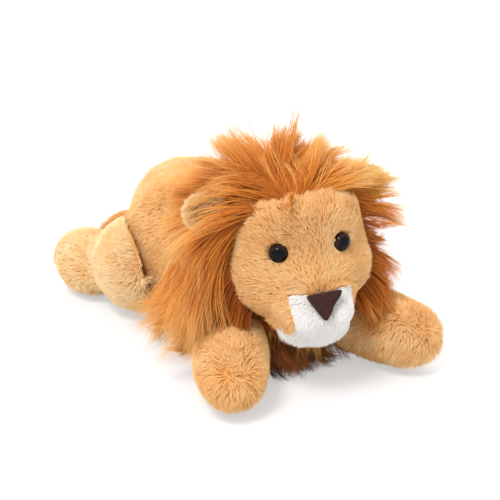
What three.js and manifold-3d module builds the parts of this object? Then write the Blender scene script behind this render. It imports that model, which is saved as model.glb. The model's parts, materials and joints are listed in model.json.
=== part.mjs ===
// A plush lion that lies on its belly with its front legs forward and its hind legs behind.
// Millimetres, +Z up. The face looks towards -Y, and +X is the lion's own left side.
import * as THREE from "three";
import { mergeVertices } from "three/addons/utils/BufferGeometryUtils.js";
import Module from "manifold-3d";

const wasm = await Module();
wasm.setup();

// Fabric and fits
const SEAT_GAP = 0.3; // between pieces that touch
const SWING_GAP = 0.8; // between a moving piece and what it passes
const RUFF_GAP = 1.8; // between the mane on the head and the ruff on the torso
const FILL_GAP = 0.6; // between a skin and its stuffing
const SKIN = 2.4; // short-pile plush: backing and pressed pile
const MANE_BACKING = 3; // long-pile plush: backing and the roots of its pile
const MANE_SWELL = { at: [0, 13, 2], radii: [64, 43, 60] }; // where its long pile stands dense, on the head

// Torso: lobes of one blended skin, each an ellipsoid
const TORSO_BLEND = 10;
const TORSO_MIDDLE = [0, 28, 46];
const CHEST = { at: [0, -22, 36], radii: [44, 34, 39] };
const BARREL = { at: [0, 26, 48], radii: [50, 48, 54] };
const RUMP = { at: [0, 92, 48], radii: [48, 43, 54] };
const FLANK = { at: [26, 58, 48], radii: [34, 38, 52] };

// Neck: a ball of stuffing that the torso and the head both sit on
const NECK_AT = [0, -44, 66];
const NECK_RADIUS = 22;
const NECK_GAP = 0.9;
const HEAD_TURN_AT_REST = -10; // degrees, towards the lion's right
const HEAD_ROLL_AT_REST = -3.5; // degrees, its left side up

// Head: the skull and what swells from it, measured from the middle of the skull
const HEAD_FROM_NECK = [0, -23, 31];
const HEAD_BLEND = 9;
const SKULL = { at: [0, 0, 0], radii: [46, 43, 41] };
const BROW = { at: [16, -10, 17], radii: [25, 30, 21] };
const CHEEK = { at: [22, -14, -19], radii: [26, 28, 24] };
const SNOUT = { at: [0, -33, -19], radii: [23, 28, 19] };
const JAW = { at: [0, -28, -34], radii: [26, 22, 16] };

// Face: the short-pile panel, in front of a tilted plane where the mane's fabric starts
const FACE_PLANE_AT = [0, -18, 0];
const FACE_PLANE_TILT = 24; // degrees that its top leans forward
const PANEL_SEAM = 0.3; // between panels of the mane
const CROWN_HALF_ANGLE = 52; // degrees from straight up to the seams beside the crown
const NAPE_LOW = -24; // how far below the skull's middle the nape's panel ends
const NAPE_START = 16; // how far behind the skull's middle the nape's panel starts

// Muzzle and chin: white pads sewn over the end of the snout
const MUZZLE_PAD = { at: [9, -51, -33], radii: [13.5, 13, 12.5] };
const CHIN_PAD = { at: [0, -39, -46], radii: [24, 16, 12] };

// Safety eyes and nose, with washers that lock on their shanks inside the head
const EYE_ASIDE = 20.5;
const EYE_HEIGHT = 4;
const EYE_RADIUS = 6;
const EYE_DOME = 4.6;
const NOSE_WIDTH = 24;
const NOSE_HEIGHT = 18;
const NOSE_DEPTH = 4.5;
const NOSE_CORNER = 5;
const NOSE_BEVEL = 1.5;
const NOSE_LEAN = 18; // degrees that its face looks up
const NOSE_DROP = 23; // below the middle of the skull
const NOSTRIL = { aside: 4.8, low: 2.9, radii: [2.6, 1.6, 1.5] };
const SHANK_RADIUS = 2;
const SHANK_LENGTH = 12;
const SHANK_RIDGE = 0.4;
const SHANK_RIDGES = 3;
const SHANK_ROUND = 8;
const EYE_ROUND = 16;
const WASHER_ROUND = 12;
const WASHER_RADIUS = 8;
const WASHER_THICKNESS = 1.6;
const WASHER_LIP = 1.2;
const WASHER_LIP_TOP = 1.2; // width of the lip's edge
const WASHER_LIP_FOOT = 1.6;
const WASHER_BEVEL = { width: 0.6, drop: 0.4 };

// Ears: a plush bowl with a pale lining, opening forwards and outwards
const EAR_ROOT = [42, 2, 13]; // from the middle of the skull
const EAR_LEAN = 52; // degrees from straight up
const EAR_OPEN = 18; // degrees that it opens outwards
const EAR_WIDTH = 30;
const EAR_HEIGHT = 32;
const EAR_DEPTH = 15;
const EAR_WALL = 2.6;
const EAR_LINING = 1.8;
const EAR_FOLD = [-12, 16]; // degrees, back and forward

// Front legs: shoulder, elbow and paw along each leg's middle line
const SHOULDER = [30, -30, 32];
const ELBOW = [46, -64, 27];
const PAW = [75, -121, 25];
const SHOULDER_RADIUS = 24;
const ELBOW_RADIUS = 23.5;
const WRIST_RADIUS = 25.5;
const PAW_RADIUS = 25.5;
const FRONT_SWING = [-2, 12]; // degrees, inwards and outwards

// Hind legs: a round thigh, and a foot behind it
const THIGH = { at: [52, 63, 38], radii: [33, 38, 35.5] };
const FOOT = { at: [69, 114, 24], radii: [26, 37, 24.5] };
const HIP = [34, 60, 38];
const HIND_SWING = [0, 12]; // degrees, inwards and outwards

// Tail: from the rump, round behind the right foot
const TAIL_LINE = [
  [0, 120, 42],
  [-20, 139, 40],
  [-37, 148, 30],
  [-42, 155, 17],
];
const TAIL_RADII = [9.5, 9, 8.5, 7];
const TAIL_BLUNT = 8;
const TUFT_CORE = { radius: 9, inset: 3 };
const TUFT_LENGTH = 26;
const TUFT_WIDTH = 6;
const TUFT_LOCKS = 4;
const TAIL_SWING = [-36, 2]; // degrees, towards the lion's left and right

// Joint ranges of the head, in degrees
const HEAD_TURN = [-8, 8];
const HEAD_NOD = [-6, 3];
const SWEEP_STEP = 12;

// Belly bag of pellets
const BAG_AT = [0, 30];
const BAG_RADII = [30, 44];
const BAG_HEIGHT = 16;

// Locks of the mane, in three rows from the face's edge backwards
const FRONT_LENGTH = 36;
const FRONT_WIDTH = 8;
const MIDDLE_LENGTH = 40;
const MIDDLE_WIDTH = 9;
const BACK_LENGTH = 38;
const BACK_WIDTH = 9.5;
const LOCK_FLATTENED = 0.55;
const LOCK_SINK = 2; // how deep a lock's root sits in its backing

// Ruff on the torso: corners of its patches, roots of its locks and how they are combed
const RUFF_PATCH = { at: [48, -12, 48], radii: [40, 24, 36] };
const RUFF_ROOTS = [
  [44, -20, 60],
  [48, -10, 50],
  [50, 0, 62],
  [50, 2, 44],
  [48, 10, 54],
];
const RUFF_COMB = [0.22, 0.12, -1];
const RUFF_LENGTH = 50;
const RUFF_WIDTH = 8.5;
const BIB_PATCH = { at: [0, -54, 32], radii: [17, 24, 22] };
const BIB_ROOTS = [
  [-10, -50, 32],
  [0, -50, 26],
  [0, -50, 40],
  [10, -50, 32],
];
const BIB_COMB = [0, -0.35, -1];
const BIB_LENGTH = 34;
const BIB_WIDTH = 8;

// Facets
const LARGE = { sides: 20, rings: 12 };
const ROUND = { sides: 14, rings: 9 };
const MEDIUM = { sides: 12, rings: 8 };
const SMALL = { sides: 10, rings: 7 };
const EAR = { sides: 12, rings: 7 };
const LOCK = { sides: 4, rings: 4 };
const SIMPLER = 0.012; // how far a cut face may move where it is made of fewer triangles

// Colours
const GOLD = 0xe3ad63;
const CREAM = 0xf0cf9c;
const WHITE = 0xf3f0ea;
const AMBER = 0xc9772b;
const UMBER = 0x7a3d18;
const FILL = 0xf6f4ef;
const DARK = 0x2a1812;
const CLEAR = 0xd8d8d8;

const vector = (a) => new THREE.Vector3(...a);
const radians = THREE.MathUtils.degToRad;
const mirrored = (a) => [-a[0], a[1], a[2]];
const both = (lobe) => [lobe, { ...lobe, at: mirrored(lobe.at) }];
const onSide = (at, side) => [side * at[0], at[1], at[2]];
const SIDES = [
  [1, "left"],
  [-1, "right"],
];

// Solids

function solid(geometry) {
  const plain = geometry.clone();
  plain.deleteAttribute("normal");
  plain.deleteAttribute("uv");
  const merged = mergeVertices(plain, 1e-4);
  return new wasm.Manifold(
    new wasm.Mesh({
      numProp: 3,
      vertProperties: merged.attributes.position.array,
      triVerts: new Uint32Array(merged.index.array),
    }),
  );
}

function geometryOf(manifold) {
  const mesh = manifold.getMesh();
  const geometry = new THREE.BufferGeometry();
  geometry.setAttribute("position", new THREE.BufferAttribute(mesh.vertProperties, 3));
  geometry.setIndex(new THREE.BufferAttribute(mesh.triVerts, 1));
  geometry.computeVertexNormals();
  return geometry;
}

const placed = (manifold, matrix) => manifold.transform(matrix.elements);
const joined = (solids) => solids.reduce((all, one) => all.add(one));

// The largest body, where a cut leaves crumbs.
function largest(manifold) {
  return manifold.decompose().reduce((best, one) => (one.volume() > best.volume() ? one : best));
}

function block(low, high) {
  const size = vector(high).sub(vector(low));
  const middle = vector(low).add(vector(high)).multiplyScalar(0.5);
  return solid(new THREE.BoxGeometry(...size).translate(...middle));
}

const FAR = 400;
const below = (z) => block([-FAR, -FAR, -FAR], [FAR, FAR, z]);

// The half of space on the side that a direction points to, from a point.
function halfSpace(at, direction) {
  const up = new THREE.Vector3(0, 0, 1);
  const turn = new THREE.Quaternion().setFromUnitVectors(up, direction.clone().normalize());
  const matrix = new THREE.Matrix4().compose(vector(at), turn, new THREE.Vector3(1, 1, 1));
  return placed(block([-FAR, -FAR, 0], [FAR, FAR, FAR]), matrix);
}

// A turned piece: a profile of [radius, height] points, round the Z axis.
function turned(profile, sides) {
  const points = profile.map(([radius, height]) => new THREE.Vector2(radius, height));
  return solid(new THREE.LatheGeometry(points, sides).rotateX(Math.PI / 2));
}

// The matrix that turns about an axis through a point, by degrees.
function turnAbout(point, axis, degrees) {
  const at = vector(point);
  return new THREE.Matrix4()
    .makeTranslation(at)
    .multiply(new THREE.Matrix4().makeRotationAxis(vector(axis), radians(degrees)))
    .multiply(new THREE.Matrix4().makeTranslation(at.clone().negate()));
}

// Angles from the low to the high end of a range, no more than a step apart.
function anglesOf([low, high]) {
  const steps = Math.ceil((high - low) / SWEEP_STEP);
  return Array.from({ length: steps + 1 }, (_, i) => low + ((high - low) * i) / steps);
}

// The other side's range, for a joint that turns the other way round.
const flipped = ([low, high]) => [-high, -low];

// A body of soft lobes, each an ellipsoid, blended into one skin.

function insideLobes(form, point, grow) {
  const sum = form.lobes.reduce((total, { at, radii }) => {
    const share = Math.hypot(...[0, 1, 2].map((k) => (point.getComponent(k) - at[k]) / (radii[k] + grow)));
    return total + Math.exp(form.blend * (1 - share));
  }, 0);
  return sum > 1;
}

// How far the skin lies from the form's middle in a direction.
function reach(form, direction, grow = 0) {
  let near = 0;
  let far = FAR / 2;
  while (far - near > 0.01) {
    const middle = (near + far) / 2;
    const point = vector(form.middle).addScaledVector(direction, middle);
    if (insideLobes(form, point, grow)) near = middle;
    else far = middle;
  }
  return near;
}

const skinPoint = (form, direction, grow = 0) =>
  vector(form.middle).addScaledVector(direction, reach(form, direction, grow));

// The skin's outward normal, from two nearby points.
function skinNormal(form, direction) {
  const near = 0.02;
  const side = new THREE.Vector3(0, 0, 1).cross(direction).normalize();
  const up = direction.clone().cross(side);
  const at = skinPoint(form, direction);
  const a = skinPoint(form, direction.clone().addScaledVector(side, near).normalize()).sub(at);
  const b = skinPoint(form, direction.clone().addScaledVector(up, near).normalize()).sub(at);
  return a.cross(b).normalize();
}

function ball({ sides, rings }) {
  const geometry = new THREE.SphereGeometry(1, sides, rings).rotateX(Math.PI / 2);
  geometry.deleteAttribute("normal");
  geometry.deleteAttribute("uv");
  return mergeVertices(geometry, 1e-4);
}

function lobed(form, facets, grow = 0) {
  const geometry = ball(facets);
  const position = geometry.attributes.position;
  for (let i = 0; i < position.count; i++) {
    const direction = new THREE.Vector3().fromBufferAttribute(position, i).normalize();
    position.setXYZ(i, ...skinPoint(form, direction, grow));
  }
  return solid(geometry);
}

const ellipsoid = ({ at, radii }, facets, grow = 0) =>
  solid(ball(facets).scale(...radii.map((r) => r + grow)).translate(...at));

// A limb or a lock: a ball drawn out along a line, with a width that changes on the way.
function drawnOut({ line, radii, flat = 1, blunt = 4, up = [0, 0, 1] }, facets, grow = 0) {
  const geometry = ball(facets);
  const position = geometry.attributes.position;
  const widths = new THREE.CatmullRomCurve3(radii.map((r) => new THREE.Vector3(r, 0, 0)));
  const length = line.getLength();
  for (let i = 0; i < position.count; i++) {
    const on = new THREE.Vector3().fromBufferAttribute(position, i);
    const along = (1 + on.z) / 2;
    const overrun = (on.z * grow) / length;
    const tangent = line.getTangent(along);
    const across = tangent.clone().cross(vector(up)).normalize();
    const over = tangent.clone().cross(across);
    const round = Math.hypot(on.x, on.y);
    const dome = Math.sqrt(Math.max(0, 1 - Math.abs(on.z) ** blunt));
    const width = round > 1e-9 ? ((widths.getPoint(along).x + grow) * dome) / round : 0;
    const point = line
      .getPoint(along)
      .addScaledVector(tangent, overrun * length)
      .addScaledVector(across, on.x * width)
      .addScaledVector(over, on.y * width * flat);
    position.setXYZ(i, ...point);
  }
  return solid(geometry);
}

// Nodes

const lion = new THREE.Group();

function addNode(name, manifold, colour) {
  const material = new THREE.MeshStandardMaterial({ color: colour, roughness: 0.95, metalness: 0 });
  const mesh = new THREE.Mesh(geometryOf(manifold.simplify(SIMPLER)), material);
  mesh.name = name;
  lion.add(mesh);
}

// What is left of a piece once another has passed it in every pose.
function clearOf(piece, obstacle, poses) {
  return largest(poses.reduce((left, pose) => left.subtract(placed(obstacle, pose)), piece));
}

// A skin of one thickness round a form, and the stuffing inside it.
// Each form is a function of how far to grow it and how fine its facets are.
function stuffed(form, facets) {
  const outer = form(0, facets).subtract(below(0));
  const cavity = form(-SKIN, facets).subtract(below(SKIN));
  const fill = form(-SKIN - FILL_GAP, facets).subtract(below(SKIN + SEAT_GAP));
  return { skin: outer.subtract(cavity), fill };
}

// Torso

const TORSO_LOBES = [CHEST, BARREL, RUMP, ...both(FLANK)];
const TORSO = { middle: TORSO_MIDDLE, lobes: TORSO_LOBES, blend: TORSO_BLEND };
const NECK = { at: NECK_AT, radii: [NECK_RADIUS, NECK_RADIUS, NECK_RADIUS] };
const neck = (grow) => ellipsoid(NECK, ROUND, grow);

function addTorso() {
  const { skin, fill } = stuffed((grow, facets) => lobed(TORSO, facets, grow), LARGE);
  const bagBase = SKIN + SEAT_GAP;
  const bag = { at: [...BAG_AT, bagBase], radii: [...BAG_RADII, BAG_HEIGHT] };
  const inside = lobed(TORSO, LARGE, -SKIN - FILL_GAP);
  addNode("torso_skin", skin.subtract(neck(NECK_GAP)), GOLD);
  addNode("torso_stuffing", fill.subtract(neck(NECK_GAP)).subtract(ellipsoid(bag, SMALL, SEAT_GAP)), FILL);
  addNode("belly_pellet_bag", ellipsoid(bag, SMALL).intersect(inside).subtract(below(bagBase)), FILL);
  addNode("neck_stuffing", neck(0), FILL);
}

// The torso that a moving piece stays clear of.
const torsoObstacle = lobed(TORSO, LARGE, SWING_GAP);

// Front legs

const frontLegLine = (side) =>
  new THREE.CatmullRomCurve3([SHOULDER, ELBOW, PAW].map((at) => vector(onSide(at, side))));

function frontLegForm(side) {
  const radii = [SHOULDER_RADIUS, ELBOW_RADIUS, WRIST_RADIUS, PAW_RADIUS];
  return (grow, facets) => drawnOut({ line: frontLegLine(side), radii }, facets, grow);
}

const frontLegPoses = (side) =>
  anglesOf(side > 0 ? FRONT_SWING : flipped(FRONT_SWING)).map((angle) =>
    turnAbout(onSide(SHOULDER, side), [0, 0, 1], angle),
  );

const hindLegPoses = (side) =>
  anglesOf(side > 0 ? flipped(HIND_SWING) : HIND_SWING).map((angle) =>
    turnAbout(onSide(HIP, side), [0, 0, 1], angle),
  );

const backwards = (poses) => poses.map((pose) => pose.clone().invert());

function addLegs(side, name) {
  const front = stuffed(frontLegForm(side), MEDIUM);
  const frontPasses = backwards(frontLegPoses(side));
  addNode(`front_leg_${name}_skin`, clearOf(front.skin, torsoObstacle, frontPasses), GOLD);
  addNode(`front_leg_${name}_stuffing`, clearOf(front.fill, torsoObstacle, frontPasses), FILL);
  const lobes = [THIGH, FOOT].map((lobe) => ({ ...lobe, at: onSide(lobe.at, side) }));
  const hindForm = (grow, facets) => joined(lobes.map((lobe) => ellipsoid(lobe, facets, grow)));
  const hind = stuffed(hindForm, MEDIUM);
  const hindPasses = backwards(hindLegPoses(side));
  addNode(`hind_leg_${name}_skin`, clearOf(hind.skin, torsoObstacle, hindPasses), GOLD);
  addNode(`hind_leg_${name}_stuffing`, clearOf(hind.fill, torsoObstacle, hindPasses), FILL);
}

// Head

const HEAD_LOBES = [SKULL, ...both(BROW), ...both(CHEEK), SNOUT, JAW];
const HEAD = { middle: [0, 0, 0], lobes: HEAD_LOBES, blend: HEAD_BLEND };
const HEAD_MATRIX = new THREE.Matrix4()
  .makeTranslation(vector(NECK_AT))
  .multiply(new THREE.Matrix4().makeRotationZ(radians(HEAD_TURN_AT_REST)))
  .multiply(new THREE.Matrix4().makeRotationY(radians(HEAD_ROLL_AT_REST)))
  .multiply(new THREE.Matrix4().makeTranslation(vector(HEAD_FROM_NECK)));

// Every way that the head can stand: turned about the neck, and nodded.
const headPose = (turn, nod) =>
  turnAbout(NECK_AT, [0, 0, 1], turn).multiply(turnAbout(NECK_AT, [1, 0, 0], nod));
const HEAD_POSES = anglesOf(HEAD_TURN).flatMap((turn) =>
  anglesOf(HEAD_NOD).map((nod) => headPose(turn, nod)),
);

// A piece from the head's own frame to the lion's, and from the lion's to the head's.
const TO_HEAD = HEAD_MATRIX.clone().invert();
const headPiece = (piece) => placed(piece, HEAD_MATRIX);
const inHead = (piece) => placed(piece, TO_HEAD);

// The head's poses undone, in the head's own frame.
const HEAD_PASSES = backwards(HEAD_POSES).map((pose) => TO_HEAD.clone().multiply(pose).multiply(HEAD_MATRIX));

// The frame of a piece that sits on the head's skin: its Z axis is the skin's normal.
function seatOn(form, direction, lift = 0) {
  const normal = skinNormal(form, direction);
  const turn = new THREE.Quaternion().setFromUnitVectors(new THREE.Vector3(0, 0, 1), normal);
  const at = skinPoint(form, direction).addScaledVector(normal, lift);
  return new THREE.Matrix4().compose(at, turn, new THREE.Vector3(1, 1, 1));
}

// Where the head's skin lies in front of a point of its middle plane.
function faceDirection(x, z) {
  let near = 0;
  let far = FAR / 2;
  while (far - near > 0.01) {
    const middle = (near + far) / 2;
    if (insideLobes(HEAD, new THREE.Vector3(x, -middle, z), 0)) near = middle;
    else far = middle;
  }
  return new THREE.Vector3(x, -near, z).normalize();
}

// A ridged shank, downwards from Z = 0, grown where it is a hole.
function shank(length, grow = 0) {
  const step = length / SHANK_RIDGES;
  const profile = [[0, 1]];
  profile.push([SHANK_RADIUS + grow, 1]);
  for (let i = 0; i < SHANK_RIDGES; i++) {
    profile.push([SHANK_RADIUS + grow, -i * step]);
    profile.push([SHANK_RADIUS - SHANK_RIDGE + grow, -(i + 1) * step + 0.2]);
  }
  profile.push([0, -length + 0.2 - grow]);
  return turned(profile.reverse(), SHANK_ROUND);
}

function eye() {
  const profile = [[0, 0]];
  profile.push([EYE_RADIUS - 0.4, 0]);
  profile.push([EYE_RADIUS, 0.5]);
  const arcs = 5;
  for (let i = 1; i <= arcs; i++) {
    const angle = (i / arcs) * (Math.PI / 2);
    profile.push([EYE_RADIUS * Math.cos(angle), 0.5 + (EYE_DOME - 0.5) * Math.sin(angle)]);
  }
  profile[profile.length - 1][0] = 0;
  return turned(profile, EYE_ROUND);
}

// A toothed washer, pressed up a shank: its inner face lies at Z = 0, its lip below.
function washer() {
  const hole = SHANK_RADIUS + SEAT_GAP;
  const low = -WASHER_THICKNESS - WASHER_LIP;
  return turned(
    [
      [hole, low],
      [hole + WASHER_LIP_TOP, low],
      [hole + WASHER_LIP_FOOT, -WASHER_THICKNESS],
      [WASHER_RADIUS - WASHER_BEVEL.width, -WASHER_THICKNESS - WASHER_BEVEL.drop],
      [WASHER_RADIUS, -WASHER_THICKNESS],
      [WASHER_RADIUS, 0],
      [hole, 0],
      [hole, low],
    ],
    WASHER_ROUND,
  );
}

// A disc round the Z axis, between two heights.
const disc = (radius, low, high) => turned([[0, low], [radius, low], [radius, high], [0, high]], EYE_ROUND);

// The nose's outline: a triangle with rounded corners, point down.
function noseOutline(grow = 0) {
  const half = NOSE_WIDTH / 2 - NOSE_CORNER - NOSE_BEVEL;
  const top = NOSE_HEIGHT / 2 - NOSE_CORNER - NOSE_BEVEL;
  const radius = NOSE_CORNER + grow;
  const corners = [
    [half, top],
    [-half, top],
    [0, -NOSE_HEIGHT / 2 + NOSE_CORNER + NOSE_BEVEL],
  ];
  const shape = new THREE.Shape();
  corners.forEach(([x, y], i) => {
    const before = corners[(i + 2) % 3];
    const after = corners[(i + 1) % 3];
    const start = Math.atan2(y - before[1], x - before[0]) - Math.PI / 2;
    let end = Math.atan2(after[1] - y, after[0] - x) - Math.PI / 2;
    if (end < start) end += 2 * Math.PI;
    shape.absarc(x, y, radius, start, end, false);
  });
  return shape;
}

// The nose, its back at Z = 0 and its top towards +Y, with a nostril at each lower side.
function nose(grow = 0) {
  const depth = NOSE_DEPTH - 2 * NOSE_BEVEL + grow;
  const bevel = { bevelThickness: NOSE_BEVEL, bevelSize: NOSE_BEVEL, bevelSegments: 2 };
  const options = { depth, ...bevel, curveSegments: 3 };
  const plate = solid(new THREE.ExtrudeGeometry(noseOutline(grow), options).translate(0, 0, NOSE_BEVEL));
  if (grow > 0) return plate;
  const { aside, low, radii } = NOSTRIL;
  const nostrils = [-1, 1].map((side) => ellipsoid({ at: [side * aside, -low, NOSE_DEPTH], radii }, LOCK));
  return nostrils.reduce((left, one) => left.subtract(one), plate);
}

const NOSE_DIRECTION = faceDirection(0, -NOSE_DROP);
const NOSE_MATRIX = new THREE.Matrix4()
  .makeTranslation(skinPoint(HEAD, NOSE_DIRECTION))
  .multiply(new THREE.Matrix4().makeRotationX(radians(90 - NOSE_LEAN)));

const eyeDirection = (side) => faceDirection(side * EYE_ASIDE, EYE_HEIGHT);
const eyeMatrix = (side) => seatOn(HEAD, eyeDirection(side), -0.6);

// Each thing with a shank in the head: how it stands, and the room that it takes there.
const WASHER_DEPTH = SKIN + 1.2;
const WASHER_HEIGHT = WASHER_THICKNESS + WASHER_LIP;
const shankRoom = joined([
  disc(SHANK_RADIUS + SEAT_GAP, -SHANK_LENGTH - 1, 3),
  disc(WASHER_RADIUS + SEAT_GAP, -WASHER_DEPTH - WASHER_HEIGHT - SEAT_GAP, -WASHER_DEPTH + SEAT_GAP),
]);
const eyeRoom = joined([shankRoom, disc(EYE_RADIUS + SEAT_GAP, -SEAT_GAP, FAR / 8)]);
const headRoom = joined([
  ...SIDES.map(([side]) => placed(eyeRoom, eyeMatrix(side))),
  placed(shankRoom, NOSE_MATRIX),
]);

function addHead() {
  const form = (grow, facets) => lobed(HEAD, facets, grow);
  const outer = form(0, LARGE);
  const cavity = form(-SKIN, LARGE);
  const fill = form(-SKIN - FILL_GAP, LARGE);
  const neckRoom = inHead(neck(NECK_GAP));
  const opened = (piece) => clearOf(piece.subtract(neckRoom), inHead(torsoObstacle), HEAD_PASSES);
  const noseRoom = placed(nose(SEAT_GAP), NOSE_MATRIX);
  const skin = opened(outer.subtract(cavity).subtract(headRoom)).subtract(noseRoom);
  addNode("head_skin", headPiece(largest(skin)), GOLD);
  addNode("head_stuffing", headPiece(opened(fill.subtract(headRoom).subtract(noseRoom))), FILL);
}

function addFace() {
  const headOuter = lobed(HEAD, LARGE, SEAT_GAP);
  const noseRoom = joined([placed(nose(SEAT_GAP), NOSE_MATRIX), placed(shankRoom, NOSE_MATRIX)]);
  const chin = ellipsoid(CHIN_PAD, SMALL).subtract(headOuter);
  const pads = SIDES.map(([side, name]) => {
    const pad = { ...MUZZLE_PAD, at: onSide(MUZZLE_PAD.at, side) };
    const half = halfSpace([(side * SEAT_GAP) / 2, 0, 0], new THREE.Vector3(side, 0, 0));
    const piece = ellipsoid(pad, SMALL).intersect(half).subtract(headOuter).subtract(noseRoom);
    addNode(`muzzle_${name}`, headPiece(largest(piece)), WHITE);
    return ellipsoid(pad, SMALL, SEAT_GAP);
  });
  addNode("chin", headPiece(largest(pads.reduce((left, pad) => left.subtract(pad), chin))), WHITE);
  for (const [side, name] of SIDES) {
    const matrix = HEAD_MATRIX.clone().multiply(eyeMatrix(side));
    addNode(`eye_${name}`, placed(joined([eye(), shank(SHANK_LENGTH)]), matrix), DARK);
    const seat = matrix.clone().multiply(new THREE.Matrix4().makeTranslation(0, 0, -WASHER_DEPTH));
    addNode(`eye_washer_${name}`, placed(washer(), seat), CLEAR);
  }
  const matrix = HEAD_MATRIX.clone().multiply(NOSE_MATRIX);
  addNode("nose", placed(joined([nose(), shank(SHANK_LENGTH)]), matrix), DARK);
  const seat = matrix.clone().multiply(new THREE.Matrix4().makeTranslation(0, 0, -WASHER_DEPTH));
  addNode("nose_washer", placed(washer(), seat), CLEAR);
}

// Ears

// An ear at its own origin: an egg that stands up, and the bowl that its back half makes, open towards -Y.
const EAR_EGG = { at: [0, 0, EAR_HEIGHT / 2], radii: [EAR_WIDTH / 2, EAR_DEPTH, EAR_HEIGHT / 2] };
const earEgg = (inset) => ellipsoid(EAR_EGG, EAR, -inset);
const behindRim = (gap) => halfSpace([0, -gap, 0], new THREE.Vector3(0, 1, 0));
const earBowl = (inset, wall) => earEgg(inset).subtract(earEgg(inset + wall)).intersect(behindRim(0));

const earMatrix = (side) =>
  HEAD_MATRIX.clone()
    .multiply(new THREE.Matrix4().makeTranslation(vector(onSide(EAR_ROOT, side))))
    .multiply(new THREE.Matrix4().makeRotationY(radians(side * EAR_LEAN)))
    .multiply(new THREE.Matrix4().makeRotationZ(radians(side * EAR_OPEN)));

// An ear folds about the line where it is sewn to the head.
function earPoses(side) {
  const matrix = earMatrix(side);
  const at = new THREE.Vector3().setFromMatrixPosition(matrix);
  const axis = new THREE.Vector3(1, 0, 0).transformDirection(matrix);
  return anglesOf(EAR_FOLD).map((angle) => turnAbout(at.toArray(), axis.toArray(), angle));
}

// The room that an ear takes while it folds.
function earRoom(side) {
  const room = placed(earEgg(-SWING_GAP).intersect(behindRim(SWING_GAP)), earMatrix(side));
  return joined(earPoses(side).map((pose) => placed(room, pose)));
}

function addEar(side, name) {
  const skull = headPiece(lobed(HEAD, MEDIUM, MANE_BACKING + SWING_GAP));
  const poses = backwards(earPoses(side));
  const outer = placed(earBowl(0, EAR_WALL), earMatrix(side));
  const lining = placed(earBowl(EAR_WALL + SEAT_GAP, EAR_LINING), earMatrix(side));
  addNode(`ear_${name}`, clearOf(outer, skull, poses), GOLD);
  addNode(`ear_lining_${name}`, clearOf(lining, skull, poses), CREAM);
}

// Mane

const FACE_TILT = radians(FACE_PLANE_TILT);
const BACK_FROM_FACE = new THREE.Vector3(0, Math.cos(FACE_TILT), Math.sin(FACE_TILT));
const behindFace = halfSpace(FACE_PLANE_AT, BACK_FROM_FACE);

// The wedge above the head, between the crown's side seams.
const CROWN_ANGLE = radians(CROWN_HALF_ANGLE);
const crownWedge = (inset) =>
  SIDES.map(([side]) => new THREE.Vector3(-side * Math.cos(CROWN_ANGLE), 0, Math.sin(CROWN_ANGLE)))
    .map((inwards) => halfSpace([0, 0, inset], inwards))
    .reduce((all, one) => all.intersect(one));

// A tapered lock of long pile that leaves a root one way and ends up combed another way.
function lock(root, out, comb, length, width) {
  const bend = root.clone().addScaledVector(out, length * 0.4);
  const tip = bend.clone().addScaledVector(comb, length * 0.65);
  const line = new THREE.QuadraticBezierCurve3(root.clone().addScaledVector(out, -LOCK_SINK), bend, tip);
  const radii = [width * 0.8, width, width * 0.7, width * 0.2];
  const up = out.clone().cross(comb).cross(out).toArray();
  return drawnOut({ line, radii, flat: LOCK_FLATTENED, blunt: 6, up }, LOCK);
}

// Rows of locks on the head: degrees behind the face's edge, count, and degrees they spread over.
const HEAD_ROWS = [
  { behind: 9, count: 15, spread: 290, length: FRONT_LENGTH, width: FRONT_WIDTH },
  { behind: 34, count: 11, spread: 250, length: MIDDLE_LENGTH, width: MIDDLE_WIDTH },
  { behind: 62, count: 6, spread: 220, length: BACK_LENGTH, width: BACK_WIDTH },
];

// The lock at an angle round the face from straight up: it fans outwards, and hangs lower down.
function headLock(around, { behind, length, width }) {
  const radial = new THREE.Vector3(Math.sin(around), 0, Math.cos(around));
  const seam = BACK_FROM_FACE;
  const edge = radial.clone().addScaledVector(seam, -radial.dot(seam)).normalize();
  const direction = edge
    .multiplyScalar(Math.cos(radians(behind)))
    .addScaledVector(seam, Math.sin(radians(behind)) - 0.1)
    .normalize();
  const root = skinPoint(HEAD, direction, MANE_BACKING + SEAT_GAP);
  const hang = (1 - Math.cos(around)) / 2;
  const rise = radial.z * 0.7 * (1 - hang) - hang * 0.9;
  const comb = new THREE.Vector3(radial.x * 0.6, 0.45, rise).normalize();
  return { root, piece: lock(root, skinNormal(HEAD, direction), comb, length, width) };
}

const clearOfEars = ({ root }) =>
  SIDES.every(([side]) => root.distanceTo(vector(onSide(EAR_ROOT, side))) > EAR_WIDTH * 0.6);

function headLocks() {
  const rows = HEAD_ROWS.map((row) => {
    const step = radians(row.spread) / (row.count - 1);
    return Array.from({ length: row.count }, (_, i) => headLock((i - (row.count - 1) / 2) * step, row));
  });
  return rows.flat().filter(clearOfEars);
}

// Ruff: the mane's lower part, sewn to the torso behind the front legs and under the chin.

const frontLegRoom = (side) =>
  joined(frontLegPoses(side).map((pose) => placed(frontLegForm(side)(SWING_GAP, MEDIUM), pose)));

// The room that the head and its mane's backing take as the head moves.
const headMoves = () => {
  const form = headPiece(lobed(HEAD, LARGE, MANE_BACKING + SEAT_GAP + SWING_GAP));
  return joined(HEAD_POSES.map((pose) => placed(form, pose)));
};

// Locks from points on the torso's skin.
const torsoLocks = (roots, comb, length, width) =>
  roots.map((at) => {
    const direction = vector(at).sub(vector(TORSO_MIDDLE)).normalize();
    const root = skinPoint(TORSO, direction, MANE_BACKING + SEAT_GAP);
    return lock(root, skinNormal(TORSO, direction), vector(comb).normalize(), length, width);
  });

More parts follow.
